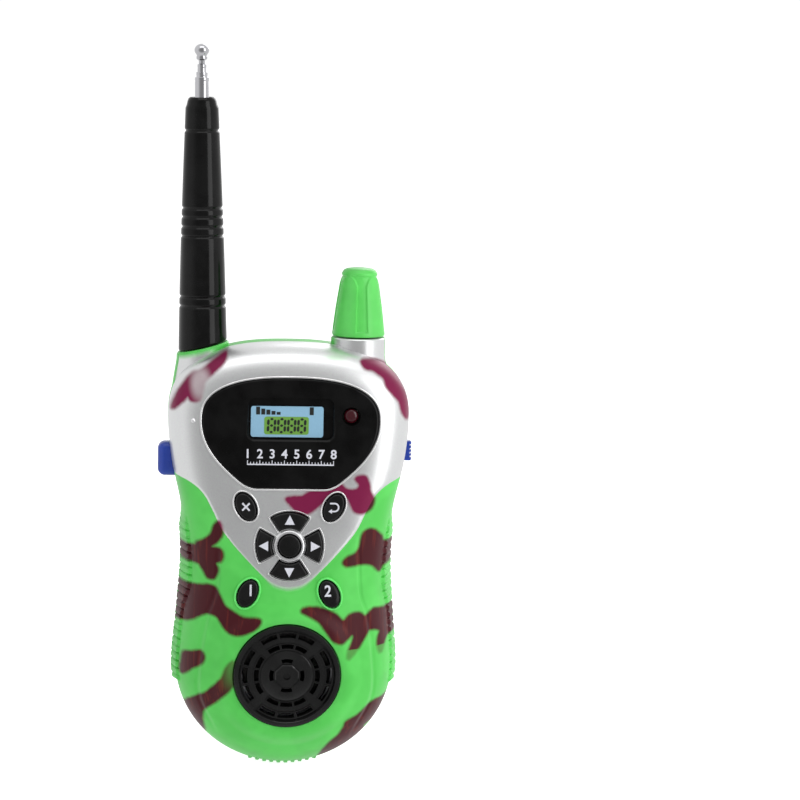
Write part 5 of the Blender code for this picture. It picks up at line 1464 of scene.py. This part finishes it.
def key_rim(name):
    path = [(x, front_y(x, z, 0.1), z) for x, z in key_outline(name, KEY_GAP + RIM_R)]
    thick = RIM_R * 0.55 if name in RING_KEYS else RIM_R
    # Lighter than the casing around it: a painted highlight on the rim's edge
    mat = RIM_GREEN_HIGHLIT if name in ("key_1", "key_2") else RIM_SILVER_HIGHLIT
    place(piped(f"{name}_rim", path, thick, mat, squash=2.0), "casing")


def centre_ring():
    section = ((3.8, -0.3), (3.8, 0.7), (3.95, 0.92), (4.3, 1.0), (4.65, 0.88), (4.95, 0.6), (5.2, -0.3))
    rings = [[(x, front_y(x, z, out), z) for x, z in disc(radius)] for radius, out in section]
    place(loft("centre_ring", rings, SILVER, closed=True), "casing")


def keypad():
    for name in KEY_NAMES:
        key_cap(name)
        if name != "key_centre":
            key_rim(name)
    centre_ring()
    symbols()


# ---------------------------------------------------------------- speaker

def speaker():
    """A round grille with two rings of slots in raised frames, and a hub with eight sides."""
    profile = [(0.0, -1.0), (7.9, -1.0), (8.2, -1.15), (8.3, -1.45), (14.9, -1.45), (15.1, -1.1),
               (15.3, -0.2), (15.5, 0.0), (16.4, 0.0), (16.85, -0.15), (SPEAKER_R, -0.5), (SPEAKER_R, -2.0),
               (15.2, -2.0), (15.2, -3.6), (0.0, -3.6)]
    grille = turned("grille", profile, on_speaker(0), SPEAKER_OUT, GRILLE, sides=144)
    cuts, rises = [], []
    for quarter in (0, 90, 180, 270):
        for middle in (quarter - 26, quarter, quarter + 26):
            for inner, outer in ((9.0, 10.5), (12.6, 14.3)):
                cuts.append(arc_block(inner, outer, middle, 11.2, 0.5, 5.0))
                rises.append(arc_block(inner - 0.3, outer + 0.3, middle, 12.7, 1.05, 1.8))
        cuts.append(arc_block(4.3, 5.6, quarter, 20.0, 0.2, 5.0))
    hub = [[round_speaker(radius, 22.5 + 45 * k, depth) for k in range(8)]
           for radius, depth in ((4.1, 1.3), (4.1, 0.45), (3.75, 0.12))]
    combine(grille, [loft("hub", hub)], "UNION")
    cuts.append(rod("hub_hole", 1.15, on_speaker(-0.5), on_speaker(0.9)))
    combine(grille, [merged("rises", rises)], "UNION")
    combine(grille, [merged("slots", cuts)], "DIFFERENCE")
    place(grille, "casing", "speaker_grille")


def round_speaker(radius, angle, depth):
    """A point round the speaker's axis at an angle in degrees, at a depth behind the face."""
    a = math.radians(angle)
    return on_speaker(depth) + radius * (Vector((math.cos(a), 0, 0)) + SPEAKER_UP * math.sin(a))


def arc_block(inner, outer, middle, half_angle, front, back):
    """A curved block between two radii and two depths, centred on an angle in degrees."""
    steps = [half_angle * (k / 4 - 1) for k in range(9)]
    ways = [(outer, middle + step) for step in steps] + [(inner, middle - step) for step in steps]
    return loft("arc", [[round_speaker(radius, angle, depth) for radius, angle in ways]
                        for depth in (front, back)])


# ---------------------------------------------------------------- inside

INSIDE = {
    "keypad_membrane": RUBBER, "main_pcb": BOARD, "audio_chip": BLACK_MATT, "tuning_coil": STEEL,
    "crystal": CHROME, "capacitor": BLUE_SLEEVE, "pcb_screw_1": STEEL, "pcb_screw_2": STEEL,
    "battery_9v": BATTERY, "battery_snap": BLACK_MATT, "battery_wire_red": WIRE_RED,
    "battery_wire_black": WIRE_BLACK, "speaker_wire_red": WIRE_RED, "speaker_wire_black": WIRE_BLACK,
    "speaker_cone": PAPER, "speaker_frame": STEEL, "speaker_magnet": STEEL, "antenna_terminal": STEEL,
    "antenna_wire": WIRE_BLACK, "ptt_spring": STEEL, "ptt_switch_plunger": BLACK_MATT,
    "ptt_switch_body": STEEL, "power_switch_body": STEEL, "power_switch_lever": BLACK_MATT,
}


def inside():
    for name, mat in INSIDE.items():
        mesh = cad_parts[name].data
        mesh.materials.clear()
        mesh.materials.append(mat)


# ---------------------------------------------------------------- studio

def floor_sheet():
    """A white floor that looks evenly lit but throws back little light, and that nothing shiny mirrors."""
    mat, tree, bsdf = start("studio_floor")
    seen = node(tree, "ShaderNodeLightPath").outputs["Is Camera Ray"]
    set_inputs(tree, bsdf, {"Base Color": (0.93, 0.93, 0.93, 1.0), "Roughness": 0.9,
                            "Emission Color": (1.0, 1.0, 1.0, 1.0),
                            "Emission Strength": between(tree, seen, FLOOR_BOUNCE, FLOOR_GLOW)})
    bm = bmesh.new()
    bmesh.ops.create_grid(bm, x_segments=1, y_segments=1, size=4.0)
    bmesh.ops.translate(bm, vec=(0, 0, FOOT - 0.0002), verts=bm.verts)
    floor = from_bmesh("floor", bm, mat)
    floor.visible_glossy = False


def surroundings():
    """White all round, which shiny pieces mirror as darker in front of the toy than behind it."""
    world = bpy.data.worlds.new("studio")
    bpy.context.scene.world = world
    world.use_nodes = True
    tree = world.node_tree
    sky = tree.nodes["Background"]
    sky.inputs["Color"].default_value = (1, 1, 1, 1)
    path = node(tree, "ShaderNodeLightPath").outputs
    direction = node(tree, "ShaderNodeTexCoord").outputs["Generated"]
    forward = node(tree, "ShaderNodeSeparateXYZ", {0: direction}).outputs[1]
    mirrored = ramped(tree, forward, -0.95, -0.35, *WORLD_REFLECTION)
    glow = between(tree, path["Is Glossy Ray"], WORLD_GLOW, mirrored)
    tree.links.new(between(tree, path["Is Camera Ray"], glow, 1.05), sky.inputs["Strength"])


def softboxes():
    target = Vector((0, -0.02, 0.05))
    for name, spot, size, power, mirrored in (
            ("key_light", (0.80, -0.80, 0.35), (0.55, 1.1), 5.3, True),
            ("side_light", (1.1, -0.2, 0.3), (0.5, 0.9), 5.0, False),
            ("fill_light", (-0.75, -0.7, 0.25), (0.5, 0.9), 2.7, False),
            ("top_light", (0.0, -0.32, 1.0), (0.9, 0.5), 2.0, True),
            ("rim_light", (0.35, 0.7, 0.5), (0.6, 0.6), 2.0, True)):
        light = bpy.data.lights.new(name, "AREA")
        light.shape = "RECTANGLE"
        light.size, light.size_y = size
        light.energy = power
        obj = bpy.data.objects.new(name, light)
        obj.location = spot
        obj.rotation_euler = (target - obj.location).to_track_quat("-Z", "Y").to_euler()
        obj.visible_glossy = mirrored
        bpy.context.scene.collection.objects.link(obj)


def camera():
    data = bpy.data.cameras.new("camera")
    data.lens = CAMERA_LENS
    data.sensor_width = 36.0
    data.clip_start, data.clip_end = 0.05, 50.0
    obj = bpy.data.objects.new("camera", data)
    h, p, r = (math.radians(a) for a in CAMERA_ANGLES)
    ahead = Vector((math.sin(h) * math.cos(p), math.cos(h) * math.cos(p), math.sin(p)))
    right = Vector((math.cos(h), -math.sin(h), 0))
    up = right.cross(ahead)
    across = right * math.cos(r) + up * math.sin(r)
    upright = up * math.cos(r) - right * math.sin(r)
    turn = Matrix((across, upright, -ahead)).transposed().to_4x4()
    obj.matrix_world = Matrix.Translation(at(*CAMERA_PLACE)) @ turn
    bpy.context.scene.collection.objects.link(obj)
    bpy.context.scene.camera = obj


bpy.context.scene.view_settings.view_transform = "Standard"
front_casing()
shoulder_pip()
rear_casing()
battery_door()
fasteners()
belt_clip()
antenna_sleeve()
antenna_tubes()
antenna_tip()
volume_knob()
talk_button()
power_slider()
display_bezel()
display_card()
tuning_scale()
keypad()
speaker()
inside()
floor_sheet()
surroundings()
softboxes()
camera()
